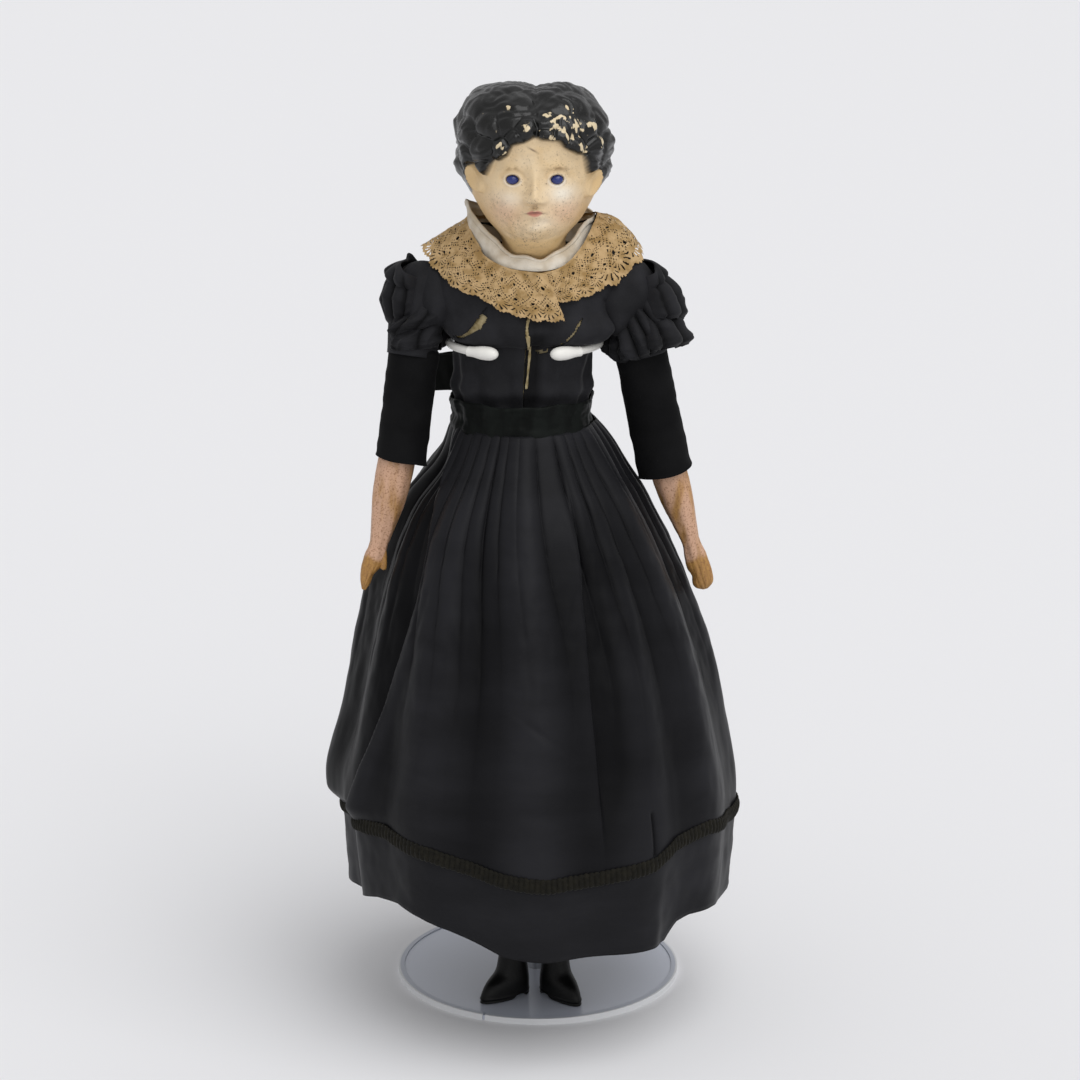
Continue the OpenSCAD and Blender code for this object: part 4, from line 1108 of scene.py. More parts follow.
    def build_eye(self, side: Side) -> None:
        """Make one oval glass eye, domed towards the front.

        Args:
            side: Side of the face.
        """
        x = self.face_x + side.value * self.eye_gap
        front = self.spot(np.degrees(np.arcsin(x / 33.6)), self.eye_h)[1]
        shape = bmesh.new()
        bmesh.ops.create_uvsphere(shape, u_segments=40, v_segments=24, radius=1.0)
        bmesh.ops.scale(shape, vec=(self.eye_w * MM, 2.0 * MM, self.eye_tall * MM), verts=shape.verts)
        place = Vector((self.x + x, self.form.y + front + 2.6, self.chin_z + self.eye_h)) * MM
        bmesh.ops.translate(shape, vec=place, verts=shape.verts)
        mesh = bpy.data.meshes.new("eye")
        shape.to_mesh(mesh)
        shape.free()
        mesh.shade_smooth()
        eye = bpy.data.objects.new(f"glass_eye_{side.word}", mesh)
        bpy.context.scene.collection.objects.link(eye)
        dress(eye, "doll", "eye_glass", EYE, f"eye_{side.word}")


@dataclass(frozen=True)
class Collar:
    """White cotton neck band and the lace collar that lies over the shoulders."""

    form: BodyForm
    shoulder_z: float
    lace_pitch: float = 10.0
    lace_l: float = 300.0
    lace_w: float = 34.0
    clear: float = 6.4
    band_rows: tuple[tuple[float, ...], ...] = (
        (4, -27, -2.5, 4, -22.5, 3.2), (-10, -24, -1, -7, -19.5, 5.8), (-20.5, -14, 2.5, -17.5, -13, 14),
        (-25, 0, 3, -27.5, -1, 27), (-21, 16, 4, -27, 18, 25), (-7, 25, 4, -11, 34.5, 22),
        (15, 25, 4, 19, 34.5, 21), (28, 16, 4, 33, 18, 20), (29.5, 0, 3, 29.5, -2, 18),
        (24.5, -15, 1.5, 22.5, -13, 11.5), (15, -24.5, -1.5, 14, -20, 5),
    )
    lace_rows: tuple[tuple[float, ...], ...] = (
        (9.5, -28.5, -4, 17.6, -34, -25), (1, -28.5, -2.5, 7, -35.5, -25.5),
        (-8, -26.5, -1, -8, -35, -22), (-15, -22, 2, -22, -31, -15.5), (-21.5, -15, 7, -36, -21, -10.5),
        (-27, -4, 15, -45, -10, -4), (-28, 8, 19, -52, 5, 4), (-21, 20, 18, -42, 28, -1),
        (-8, 29, 17, -18, 42, -8), (6, 31, 17, 6, 45, -10), (19, 29, 17, 30, 42, -8),
        (30, 20, 19, 50, 28, -1), (35, 8, 21, 58, 5, 3), (33, -4, 17, 57, -6, -1),
        (28, -15, 9, 46, -16, -10), (22, -22.5, 2.5, 34, -24, -14), (15, -27, -1.5, 23, -30, -16.5),
        (6, -27.5, -3.5, 13, -32, -17),
    )
    cotton_t: float = 0.8

    def across(self, table: tuple[tuple[float, ...], ...], along: Array, share: Array) -> Array:
        """Return points between the inner and outer curves of a table of six numbers a row."""
        rows = spline(np.array(table), along)
        return mix(rows[:, :3], rows[:, 3:], share[:, None]) + (self.form.x, self.form.y, self.shoulder_z)

    def band(self, u: Array, v: Array) -> Array:
        """Return the neck band: low in front, standing up and spread behind, with a rolled upper edge.

        Args:
            u: Share round.
            v: Share up.

        Returns:
            Points.
        """
        closed = (*self.band_rows[-2:], *self.band_rows, *self.band_rows[:3])
        points = self.across(closed, 2 + u * len(self.band_rows), v)
        out = points - (self.form.x + 3, self.form.y, 0)
        out = out * (1, 1, 0) / np.linalg.norm(out[:, :2], axis=1, keepdims=True)
        swell = 1.4 * sind(v * 180) + 1.0 * bump(v - 0.93, 0.06) - 0.5 * bump(v - 0.82, 0.03)
        swell = swell + 0.8 * rough(points * (1, 1, 0.5), 8.0, 2) + 0.3 * rough(points, 3.0, 2, 5.0)
        wave = 0.9 * v * sind(u * 360 * 7 + 50 * sind(u * 720))
        return points + out * swell[:, None] + xyz(0 * u, 0 * u, wave)

    def lay(self, u: Array, v: Array, lift: Any) -> Array:
        """Lay a strip over the shoulders, outside the bodice.

        Args:
            u: Share of the way along the collar, from its overlapping end right round.
            v: Share of the way from the neck to the outer edge.
            lift: How far it stands off the collar's own surface, in millimetres.

        Returns:
            Points of the strip.
        """
        points = self.across(self.lace_rows, u * (len(self.lace_rows) - 1), v)
        points[:, 2] += 5.0 * sind(v * 180) * ease((points[:, 0] - self.form.x - 26) / 16)
        row = np.linspace(2.0, 8.9, 140)
        sides = self.form.off(np.zeros(140), row, self.clear)
        fronts = self.form.off(np.full(140, -90.0), row, self.clear)
        bust = 2.4 * ease((self.form.y - points[:, 1]) / 14) * bump(points[:, 2] - self.shoulder_z + 27, 13)
        wide = np.interp(points[:, 2], sides[:, 2], sides[:, 0] - self.form.x) + bust
        deep = np.interp(points[:, 2], fronts[:, 2], self.form.y - fronts[:, 1]) + bust
        reach = np.hypot((points[:, 0] - self.form.x) / wide, (points[:, 1] - self.form.y) / deep)
        push = np.maximum(1 / np.maximum(reach, 0.4), 1)
        over = ease((fronts[-1, 2] + 3 - points[:, 2]) / 3)
        points[:, :2] += (points[:, :2] - (self.form.x, self.form.y)) * ((push - 1) * over)[:, None]
        out = (points - (self.form.x, self.form.y, self.shoulder_z - 20)) * (1, 1, 0.6)
        out /= np.linalg.norm(out, axis=1, keepdims=True)
        return points + out * np.broadcast_to(lift, u.shape)[:, None]

    def lace(self, u: Array, v: Array) -> Array:
        """Return the lace, ruffled, with its worked threads raised and its first end over the last.

        Args:
            u: Share along.
            v: Share out.

        Returns:
            Points.
        """
        s, t = u * self.lace_l, v * self.lace_w
        ruffle = 0.8 * sind(u * 360 * 15 + 80 * sind(u * 800)) * v
        ruffle = ruffle + 0.5 * rough(xyz(s, t, 0 * s), 9.0, 2, 2.0)
        return self.lay(u, v, ruffle + 2.2 * ease((0.075 - u) / 0.05) + 0.25 * self.threads(u, v))

    def yoke(self, u: Array, v: Array) -> Array:
        """Return the bodice's top under the lace, over the shoulders and drawn in on the back.

        Args:
            u: Share along.
            v: Share out.

        Returns:
            Points.
        """
        points = self.lay(mix(0.14, 0.9, u), 0.14 + 0.77 * v, -2.2)
        points = points - xyz(0 * u, 0 * u, 9.0 * ease((v - 0.86) / 0.14))
        row = np.linspace(2.0, 8.9, 140)
        sides = self.form.off(np.zeros(140), row, 4.0)
        backs = self.form.off(np.full(140, 90.0), row, 4.0)
        behind = ease((points[:, 1] - self.form.y - 10) / 16) * ease((v - 0.4) / 0.6)
        points[:, 2] -= 5.0 * behind
        wide = np.interp(points[:, 2], sides[:, 2], sides[:, 0] - self.form.x)
        deep = np.interp(points[:, 2], backs[:, 2], backs[:, 1] - self.form.y)
        chest = self.form.y + deep * np.sqrt(np.maximum(1 - ((points[:, 0] - self.form.x) / wide) ** 2, 0))
        points[:, 1] = mix(points[:, 1], np.minimum(chest, points[:, 1]), behind)
        return points

    def threads(self, u: Array, v: Array) -> Array:
        """Return how far the worked threads stand up from the ground.

        Args:
            u: Share along.
            v: Share out.

        Returns:
            Values of about 0 to 1.
        """
        s, t = u * self.lace_l, v * self.lace_w
        across = (s + self.lace_pitch / 2) % self.lace_pitch - self.lace_pitch / 2
        diamond = np.abs(across) / 3.6 + np.abs((t - 5) % 12 - 6) / 4.6
        return bump(diamond - 1.15, 0.2) + 0.8 * bump(t - self.lace_w + 2.6, 0.7) + bump(t - 1.2, 0.8)

    def is_hole(self, u: Array, v: Array) -> Array:
        """Say where the lace is open: fans along the edge, a ground of holes, and motifs between.

        Args:
            u: Share along.
            v: Share out.

        Returns:
            True where it is open.
        """
        s, t = u * self.lace_l, v * self.lace_w
        across = (s + self.lace_pitch / 2) % self.lace_pitch - self.lace_pitch / 2
        scallop = 1.8 * (1 - np.abs(np.cos(np.pi * across / self.lace_pitch)))
        picot = 0.7 * (0.5 - 0.5 * np.cos(2 * np.pi * s / 2.2))
        edge = t > self.lace_w - scallop - picot
        place = xyz(s, t, 0 * s)
        s, t = s + 1.6 * rough(place, 9.0, 2, 3.0), t + 1.6 * rough(place, 9.0, 2, 8.0)
        across = (s + self.lace_pitch / 2) % self.lace_pitch - self.lace_pitch / 2
        fan_t = t - (self.lace_w - 9.0)
        spoke = np.degrees(np.arctan2(across, fan_t))
        reach = np.hypot(across, fan_t)
        slit = (reach > 3.4) & (reach < 6.4) & (np.abs(spoke % 26 - 13) < 4.0) & (fan_t > 0)
        diamond = np.abs(across) / 4.0 + np.abs((t - 4) % 12 - 6) / 4.8
        # The ground is drawn coarser than real lace, with holes about 1.8 mm apart, so that they show.
        lattice = (np.abs((s + t) % 2.5 - 1.25) < 0.62) & (np.abs((s - t) % 2.5 - 1.25) < 0.62)
        some = rough(place, 3.0, 1, 12.0) > -0.25
        ground = lattice & (np.abs(diamond - 1.15) < 0.36) & some
        inner = (np.hypot(across, (t - 4) % 12 - 6) < 1.0) | (lattice & (np.abs(diamond - 0.55) < 0.13))
        return edge | ((slit | ground | inner) & (t > 2.0) & (~(fan_t > 1.0) | slit))

    def build(self) -> None:
        """Make the neck band, and the lace with its holes."""
        band = lay_grid("cotton_neck_band", 180, 30, self.band, weld=True)
        thicken(band, self.cotton_t)
        dress(band, "doll", "white_cotton", COTTON, "neck_band")
        lace = lay_grid("lace_collar_strip", 760, 86, self.lace, lambda u, v: {"along": u, "across": v})
        self.open_lace(lace)
        dress(lace, "doll", "lace", LACE, "lace_collar")

    def open_lace(self, lace: Piece) -> None:
        """Cut the holes out of the lace strip.

        Args:
            lace: Lace strip, changed in place.
        """
        shape = bmesh.new()
        shape.from_mesh(lace.data)
        along = shape.verts.layers.float["along"]
        across = shape.verts.layers.float["across"]
        faces = list(shape.faces)
        u = np.array([sum(v[along] for v in f.verts) / 4 for f in faces])
        v = np.array([sum(v[across] for v in f.verts) / 4 for f in faces])
        gone = [faces[i] for i in np.flatnonzero(self.is_hole(u, v))]
        bmesh.ops.delete(shape, geom=gone, context="FACES")
        shape.to_mesh(lace.data)
        shape.free()


@dataclass(frozen=True)
class Bodice:
    """Black bodice: two draped front panels, a back panel, and the lining that shows in tears."""

    form: BodyForm
    collar: Collar
    low_row: float = 1.95
    high_row: float = 8.3
    gap: float = 1.6
    tears: tuple[tuple[tuple[float, float, float], ...], ...] = (
        ((-41, 356.5, 0.5), (-37, 356.5, 0.9), (-33, 360, 1.0), (-29, 363.5, 1.9), (-26.5, 367, 2.0),
         (-24.5, 372, 0.4)),
        ((7, 352.4, 0.3), (11, 353.8, 0.6), (15, 356.8, 0.8), (17.5, 360, 0.5), (20, 364, 0.6),
         (21.5, 366.5, 0.2)),
        ((-0.4, 350.4, 0.7), (2.5, 350.2, 1.0), (5, 350.8, 0.5)),
    )
    wool_t: float = 0.7
    lining_t: float = 0.3
    fray_t: float = 0.4

    def cloth(self, angle: Array, row: Array, lift: float = 0.0) -> Array:
        """Return points of the bodice: full over the bust, drawn in under the clip, creased at the waist.

        Args:
            angle: Degrees round the body.
            row: Ring numbers of the body.
            lift: Distance off the bodice.

        Returns:
            Points.
        """
        front = ease(-sind(angle) * 1.6)
        full = 3.4 * bump(row - 4.0, 0.8) * (0.35 + 0.65 * front)
        tuck = -0.8 * bump(row - 3.05, 0.18) + 2.0 * bump(row - 2.3, 0.09)
        points = self.form.off(angle, row, 4.2 + lift)
        aside = np.abs((angle + 270) % 360 - 180)
        darts = 1.0 * ease((3.0 - row) / 0.5) * np.sin(np.radians(aside) * 13 - 4.5 * row)
        folds = 0.8 * rough(points * (1, 1, 0.5), 13.0, 2) + 0.35 * rough(points, 5.0, 2, 7.0)
        placket = -0.9 * ease((angle + 87) / 2) * ease((-77 - angle) / 3) * ease((row - 2.2) / 0.5)
        points = self.form.off(angle, row, 4.2 + lift + full + tuck + darts + folds + placket)
        near = wrapped(angle + 38)
        wing = 7.0 * bump(near, 26) * bump(row - 4.3, 0.9)
        return points + xyz(wing, -0.12 * wing, 0 * wing)

    def panel(self, name: str, start: float, stop: float, lift: float = 0.0) -> Piece:
        """Make one panel between two angles round the body.

        Args:
            name: Name of the piece.
            start: Angle of its first edge.
            stop: Angle of its other edge.
            lift: Distance off the bodice.

        Returns:
            The panel, without its thickness.
        """
        def surface(u: Array, v: Array) -> Array:
            """Place the panel's grid on the body.

            Args:
                u: Share across.
                v: Share up.

            Returns:
                Points.
            """
            angle = mix(start, stop, u)
            top = self.high_row - 1.5 * np.maximum(-sind(angle), 0) ** 2
            return self.cloth(angle, mix(self.low_row, top, v), lift)

        def masks(u: Array, v: Array) -> dict[str, Array]:
            """Paint shade into the recess beside the front opening.

            Args:
                u: Share across.
                v: Share up.

            Returns:
                Values from 0 to 1 by name.
            """
            angle = mix(start, stop, u)
            recess_shade = ease((angle + 91) / 3) * ease((-70 - angle) / 10) * ease((0.5 - v) / 0.1)
            return {"fold": recess_shade}
        return lay_grid(name, 150, 130, surface, masks)

    def torn(self, middles: Array) -> Array:
        """Say which places lie in a tear, by X and height.

        Args:
            middles: Middles of the faces.

        Returns:
            True where a face lies in a tear.
        """
        hit = np.zeros(len(middles), bool)
        ragged = 0.5 * rough(middles, 1.6, 2)
        for tear in self.tears:
            xs, zs, widths = np.array(tear).T
            for k in np.linspace(0, len(tear) - 1, 60):
                x, z, width = (np.interp(k, range(len(tear)), c) for c in (xs, zs, widths))
                hit |= np.hypot(middles[:, 0] - x, middles[:, 2] - z) < width + ragged
        return hit & (middles[:, 1] < self.form.y)

    def build(self) -> None:
        """Make the panels, the lining behind the tears, and the frayed front edge."""
        fray = lay_grid("frayed_front_edge", 160, 4, self.fray)
        thicken(fray, self.fray_t)
        dress(fray, "doll", "muslin", LINING)
        spans = {Side.RIGHT: (270 - self.gap + 2.5, 152), Side.LEFT: (-90 + self.gap, 28)}
        for side, (start, stop) in spans.items():
            over = 0.5 if side is Side.RIGHT else 0.0
            panel = self.panel(f"wool_bodice_front_{side.word}", start, stop, over)
            cut_faces(panel, self.torn)
            thicken(panel, self.wool_t)
            dress(panel, "doll", "black_wool", WOOL, f"bodice_front_{side.word}")
            lining = self.panel(f"bodice_lining_{side.word}", start - 4 * side.value, stop, -0.9)
            thicken(lining, self.lining_t)
            dress(lining, "doll", "muslin", LINING)
        yoke = lay_grid("yoke", 220, 24, self.collar.yoke)
        back = join("wool_bodice_back", [self.panel("back", 25.5, 154.5), yoke])
        thicken(back, self.wool_t)
        dress(back, "doll", "black_wool", WOOL, "bodice_back")

    def fray(self, u: Array, v: Array) -> Array:
        """Return the narrow cream edge that shows along the front opening.

        Args:
            u: Share up.
            v: Share across.

        Returns:
            Points.
        """
        row = mix(2.38, 5.0, u)
        jag = 0.9 + 0.7 * rough(xyz(u * 90, 0 * u, 0 * u), 4.0, 2) + 0.7 * bump(u - 0.62, 0.05)
        wave = 2.0 * np.sin(u * 5.5 + 0.4)
        angle = -87.2 + wave + (v - 0.5) * jag * 1.7
        return self.cloth(angle, row, 1.4 - 0.5 * v)


class Hand(Enum):
    """Shape of a carved hand."""

    POINTED = "narrow, with its thumb apart"
    PADDLE = "broad, with grooves between its fingers"


@dataclass(frozen=True)
class Flounce:
    """One gathered layer of a puff: angles round the arm, heights of its edges, its reach and its pleats."""

    start: float
    stop: float
    top: tuple[float, float, float]
    bottom: tuple[float, float, float]
    belly: float
    edge: float
    pleats: float
    depth: float
    slant: float = 0.0
    stand: float = 0.0


FLOUNCES: dict[Side, tuple[Flounce, ...]] = {
    Side.RIGHT: (
        Flounce(-80, 120, (5, 17, 6), (-14, -22, -16), 5.4, 2.2, 8, 1.9, 0, 7.0),
        Flounce(-165, -28, (-1, -7, -18), (-15, -21, -27), 4.4, 1.2, 2.5, 1.1, 12),
        Flounce(-155, -34, (-13, -17, -23), (-28, -31, -32), 3.2, 0.8, 2.5, 1.0, 10),
        Flounce(60, 185, (4, -4, -4), (-22, -30, -28), 4.0, 2.0, 4, 1.2),
    ),
    Side.LEFT: (
        Flounce(-62, 125, (6, 15, 6), (-14, -22, -20), 10.0, 11.5, 7, 2.2, -12, 6.5),
        Flounce(-84, 130, (-6, -8, -8), (-28, -33, -31), 9.0, 12.0, 8, 2.5, -16),
        Flounce(-128, -22, (-15, -6, 2), (-33, -31, -24), 6.5, 6.0, 5, 2.1, 22),
        Flounce(-190, -92, (-16, -18, -14), (-31, -34, -31), 3.6, 2.6, 3, 1.2, 10),
        Flounce(80, 195, (0, -6, -6), (-24, -32, -30), 6.0, 5.0, 5, 1.6),
    ),
}


@dataclass(frozen=True)
class Arm:
    """One arm: stuffed upper arm, carved forearm, sleeve and gathered puff, in the arm's own frame."""

    side: Side
    pivot: Array
    splay: float
    pitch: float
    sleeve_l: float
    cap_end: float
    cap_lobe: float
    puff_cut: tuple[float, float]
    forearm_splay: float
    hand: Hand
    forearm_l: float
    flare: float
    drift: float
    length: float = 70.0
    sleeve_r: float = 12.3
    puff_r: float = 13.2
    puff_l: float = 33.0
    cap_r: float = 15.4
    wool_t: float = 0.6

    def place(self, local: Array) -> Array:
        """Carry points from the arm's frame, with X outwards and Z up along the arm, to the doll.

        Args:
            local: Points in the arm's frame.

        Returns:
            Points in the doll's frame.
        """
        k = self.side.value
        turn = np.array(Matrix.Rotation(radians(-k * self.splay), 3, "Y")
                        @ Matrix.Rotation(radians(-self.pitch), 3, "X"))
        return self.pivot + (local * (k, 1, 1)) @ turn.T

    def bent(self, local: Array) -> Array:
        """Carry points from the forearm's frame, with its elbow at the origin, to the doll."""
        turn = np.array(Matrix.Rotation(radians(self.splay - self.forearm_splay), 3, "Y"))
        return self.place(local @ turn.T + (0, 0, -self.length))

    def sleeve(self, u: Array, v: Array) -> Array:
        """Return the straight sleeve, whose head is cut on a slant and flat to leave the armhole room.

        Args:
            u: Share round.
            v: Share down.

        Returns:
            Points.
        """
        a = u * 360
        head = -3.0 - 23.0 * ease((0.6 - cosd(a - 45)) / 0.9)
        z = mix(head, -self.sleeve_l + 1.2 * cosd(a) + 0.8 * sind(a * 2 + 40), v)
        radius = self.sleeve_r * (1 + self.flare * v) + 0.4 * bump(v - 1, 0.012)
        beside = 1 - 0.73 * np.maximum(-cosd(a), 0) ** 0.5 * ease((z + 31) / 9)
        local = xyz(radius * beside * cosd(a), radius * 0.95 * sind(a), z)
        crease = 0.5 * rough(local * (1, 1, 1.4), 13.0, 2)
        crease = crease + 0.12 * rough(local * (0.4, 0.4, 1.0), 5.0, 1, 3.0)
        local = local * (1 + crease[:, None] * np.array((1, 1, 0)) / radius.mean())
        return self.place(local + xyz(self.drift * v**2, 0 * v, 0 * v))

    def puff_base(self, u: Array, v: Array) -> Array:
        """Return the gathered cap under the flounces, whose inner side reaches into the armhole.

        Args:
            u: Share round.
            v: Share up.

        Returns:
            Points.
        """
        a = u * 360
        h = np.where(v < 0.6, mix(-self.puff_l, 0, v / 0.6), 14.0 * sind(np.clip((v - 0.6) / 0.4, 0, 1) * 90))
        round_it = np.where(h > 0, np.sqrt(np.maximum(1 - (h / 14.0) ** 2, 0)), 1)
        reach = mix(self.sleeve_r + 0.6, self.puff_r + 0.6, ease(v / 0.3)) + 0.6 * cosd(a * 9) * sind(v * 180)
        inward = np.maximum(-cosd(a), 0)
        reach = reach - 1.6 * inward * ease((0.5 - v) / 0.3)
        return self.place(xyz(reach * round_it * cosd(a), reach * round_it * sind(a), h))

    def shoulder(self, u: Array, v: Array) -> Array:
        """Return the dropped shoulder, round about the hinge's line so that it stays whole in a swing.

        Args:
            u: Share round.
            v: Share outwards.

        Returns:
            Points.
        """
        t = u * 360
        rows = np.array([(-21, 12), (-15, 14.4), (-8, self.cap_r), (self.cap_end - 9, self.cap_r - 0.2),
                         (self.cap_end - 4.5, 12.8), (self.cap_end - 1.4, 8), (self.cap_end, 0)])
        x, radius = spline(rows, v * 6).T
        drop = bump(wrapped(t - 228), 42)
        radius = np.maximum(radius, 0) * (1 + self.cap_lobe * drop * bump(x + 9, 9))
        local = xyz(x, radius * cosd(t), radius * sind(t))
        soft = 0.5 * rough(local, 9.0, 2, 6.0) * ease((1 - v) / 0.15)
        return self.place(local + local * (0, 1, 1) * (soft / self.cap_r)[:, None])

    def pleat(self, layer: Flounce, index: int, u: Array, v: Array) -> Array:
        """Return how far out of its folds a layer lies, from 0 in a fold to 1 on a crest."""
        drift = 0.8 * np.sin(v * 3 + index * 1.7) + 0.5 * np.sin(u * 9 + index)
        return np.abs(np.sin(np.pi * layer.pleats * u + drift)) ** 0.6

    def flounce(self, layer: Flounce, index: int) -> Piece:
        """Make one gathered layer of the puff.

        Args:
            layer: Its place, reach and pleats.
            index: Number of the layer, which varies its pleats.

        Returns:
            The layer as a mesh object.
        """
        def surface(u: Array, v: Array) -> Array:
            """Hang a pleated strip round the arm.

            Args:
                u: Share round.
                v: Share down.

            Returns:
                Points.
            """
            top, bottom = (spline(np.array(edge)[:, None], u * 2)[:, 0] for edge in (layer.top, layer.bottom))
            a = mix(layer.start, layer.stop, u) + layer.slant * (v - 0.5)
            z = mix(top, bottom, v)
            ends = ease(np.minimum(u, 1 - u) / 0.1)
            out = layer.belly * ease(v / 0.6) + (layer.edge - layer.belly) * ease((v - 0.55) / 0.35)
            out = np.maximum(out, layer.stand * ease((0.5 - v) / 0.3)) - 3.0 * ease((v - 0.88) / 0.12)
            pleat = self.pleat(layer, index, u, v)
            out = out + layer.depth * (2 * pleat - 1.2) * ease(v / 0.3)
            core = np.sqrt(np.maximum(self.puff_r**2 - np.maximum(z, 0) ** 2, 4.0))
            local = xyz(u * 30, v * 20, 0 * u + index * 9)
            crush = 2.4 * (0.3 - np.abs(rough(local, 8.0, 2, 3.0)))
            radial = core + (out + 0.5 * rough(local, 6.0, 2) + crush) * ends
            curl = 1.4 * (pleat - 0.5) * ease((v - 0.7) / 0.3)
            return self.place(xyz(radial * cosd(a), radial * sind(a), z + curl))

        def masks(u: Array, v: Array) -> dict[str, Array]:
            """Paint shade into the layer's folds."""
            return {"fold": np.clip(1.6 * (1 - self.pleat(layer, index, u, v)) * ease(v / 0.2), 0, 1)}

        return lay_grid(f"flounce_{index}", 112, 40, surface, masks)

    def build_puff(self) -> None:
        """Make the shoulder, the cap and its flounces as one piece that bends between body and arm."""
        word = self.side.word
        cap = lay_grid(f"cap_{word}", 96, 40, self.puff_base, weld=True)
        shoulder = lay_grid(f"shoulder_{word}", 90, 48, self.shoulder, weld=True)
        layers = [self.flounce(layer, i) for i, layer in enumerate(FLOUNCES[self.side])]
        puff = join(f"ruched_puff_{word}", [cap, shoulder, *layers])
        thicken(puff, self.wool_t)
        dress(puff, None, "black_wool", WOOL, f"sleeve_puff_{word}")
        inner = self.place(np.array([(-20.0, 0, 0), (-12.5, 0, 0)])) * MM
        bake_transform(puff, "doll", f"arm_{word}", start=tuple(inner[0]), end=tuple(inner[1]))

    def forearm_rows(self) -> Array:
        """Return distance from the elbow, half width and half thickness along the forearm and hand.

        Returns:
            One row per ring.
        """
        palm = {
            Hand.POINTED: [(0.79, 5.0, 3.8), (0.87, 4.5, 3.3), (0.94, 3.0, 2.4), (1.0, 0.9, 0.7)],
            Hand.PADDLE: [(0.8, 5.6, 3.8), (0.9, 6.0, 3.5), (0.97, 4.9, 2.8), (1.0, 1.6, 0.9)],
        }[self.hand]
        rows = [
            (-0.024, 8.6, 8.6), (0.2, 9.2, 9.2), (0.42, 8.4, 8.4), (0.6, 5.9, 5.7), (0.71, 4.5, 4.2), *palm,
        ]
        return np.array(rows) * (self.forearm_l, 1, 1)

    def forearm(self, u: Array, v: Array) -> Array:
        """Return the carved forearm and mitten hand, closed at both ends.

        Args:
            u: Share round.
            v: Share down.

        Returns:
            Points.
        """
        a = u * 360
        ends = np.clip(np.minimum(v, 1 - v) / 0.012, 0, 1)
        z, wide, deep = spline(self.forearm_rows(), np.clip((v - 0.012) / 0.976, 0, 1) * 8).T
        hand = ease((z - self.forearm_l * 0.76) / 8)
        groove = np.abs(np.sin(np.clip(cosd(a), -0.95, 0.95) * 6.6)) ** 0.5
        fingers = 0.42 * hand * groove * ease(np.abs(sind(a)) * 1.5)
        facets = 0.18 * cosd(a * 7 + z * 5) * (1 - hand)
        x, y = (wide + facets) * cosd(a) * ends, (deep + facets + fingers - 0.3 * hand) * sind(a) * ends
        notch = 1.4 * bump(z - self.forearm_l * 0.9, 3) * ease(-cosd(a) * 2 - 0.6)
        turned = 2.6 * ease((z / self.forearm_l - 0.68) / 0.32) if self.hand is Hand.POINTED else 0
        local = xyz(x + notch + turned, y, -z)
        return self.bent(local + 0.12 * rough(local, 3.0, 2)[:, None])

    def thumb(self, u: Array, v: Array) -> Array:
        """Return the thumb, carved against the hand's inner side.

        Args:
            u: Share round.
            v: Share down.

        Returns:
            Points.
        """
        a = u * 360
        radius = np.sqrt(np.maximum(1 - (2 * v - 1) ** 6, 0)) * mix(1.3, 2.0, v)
        start = np.array({Hand.POINTED: (-3.2, -0.8, 0), Hand.PADDLE: (-1.5, 2.4, 0)}[self.hand])
        start = start + (0, 0, -self.forearm_l * 0.73)
        return self.bent(start + xyz(radius * cosd(a) - 1.6 * v, radius * sind(a), -10.5 * v))

    def bareness(self, u: Array, v: Array) -> dict[str, Array]:
        """Return where the paint has gone: all over the hand, and in patches down the forearm."""
        return {"bare": np.clip(0.12 + 0.6 * ease((v - 0.58) / 0.14) + 0.1 * bump(v - 0.3, 0.2), 0, 1)}

    def build_forearm(self) -> None:
        """Make the forearm with its thumb."""
        word = self.side.word
        arm = lay_grid(f"arm_{word}", 72, 150, self.forearm, self.bareness, weld=True)
        thumb = lay_grid(f"thumb_{word}", 24, 24, self.thumb, lambda u, v: {"bare": 0 * u + 0.7}, weld=True)
        carved = join(f"carved_forearm_{word}", [arm, thumb])
        dress(carved, f"arm_{word}", "carved_wood", ARM_WOOD, f"forearm_{word}")

    def stuffing(self, u: Array, v: Array) -> Array:
        """Return the stuffed upper arm, rounded at the shoulder and tied in at the elbow.

        Args:
            u: Share round.
            v: Share down.

        Returns:
            Points.
        """
        a = u * 360
        z, radius = spline(np.array([
            (10.4, 0), (9.4, 4.5), (6.5, 8.2), (1.5, 10.3), (-8, 10.7), (-25, 10.9), (-45, 10.7), (-58, 10.4),
            (-64, 9.4), (-68, 9.6), (-70, 8.6), (-70.2, 0),
        ]), v * 11).T
        flat = np.maximum(radius, 0) * (1 - 0.76 * np.maximum(-cosd(a), 0) ** 0.5 * ease((z + 31) / 9))
        pucker = 0.25 * cosd(a * 14) * bump(z + 64, 4)
        return self.place(xyz((flat + pucker) * cosd(a), (radius + pucker) * sind(a), z))

    def build(self) -> None:
        """Make every piece of the arm."""
        word = self.side.word
        stuffed = lay_grid(f"stuffed_upper_arm_{word}", 64, 60, self.stuffing, weld=True)
        dress(stuffed, f"arm_{word}", "muslin", MUSLIN, f"upper_arm_{word}")
        sleeve = lay_grid(f"wool_sleeve_{word}", 80, 110, self.sleeve, weld=True)
        thicken(sleeve, self.wool_t)
        dress(sleeve, f"arm_{word}", "black_wool", SLEEVING, f"sleeve_{word}")
        self.build_puff()
        self.build_forearm()


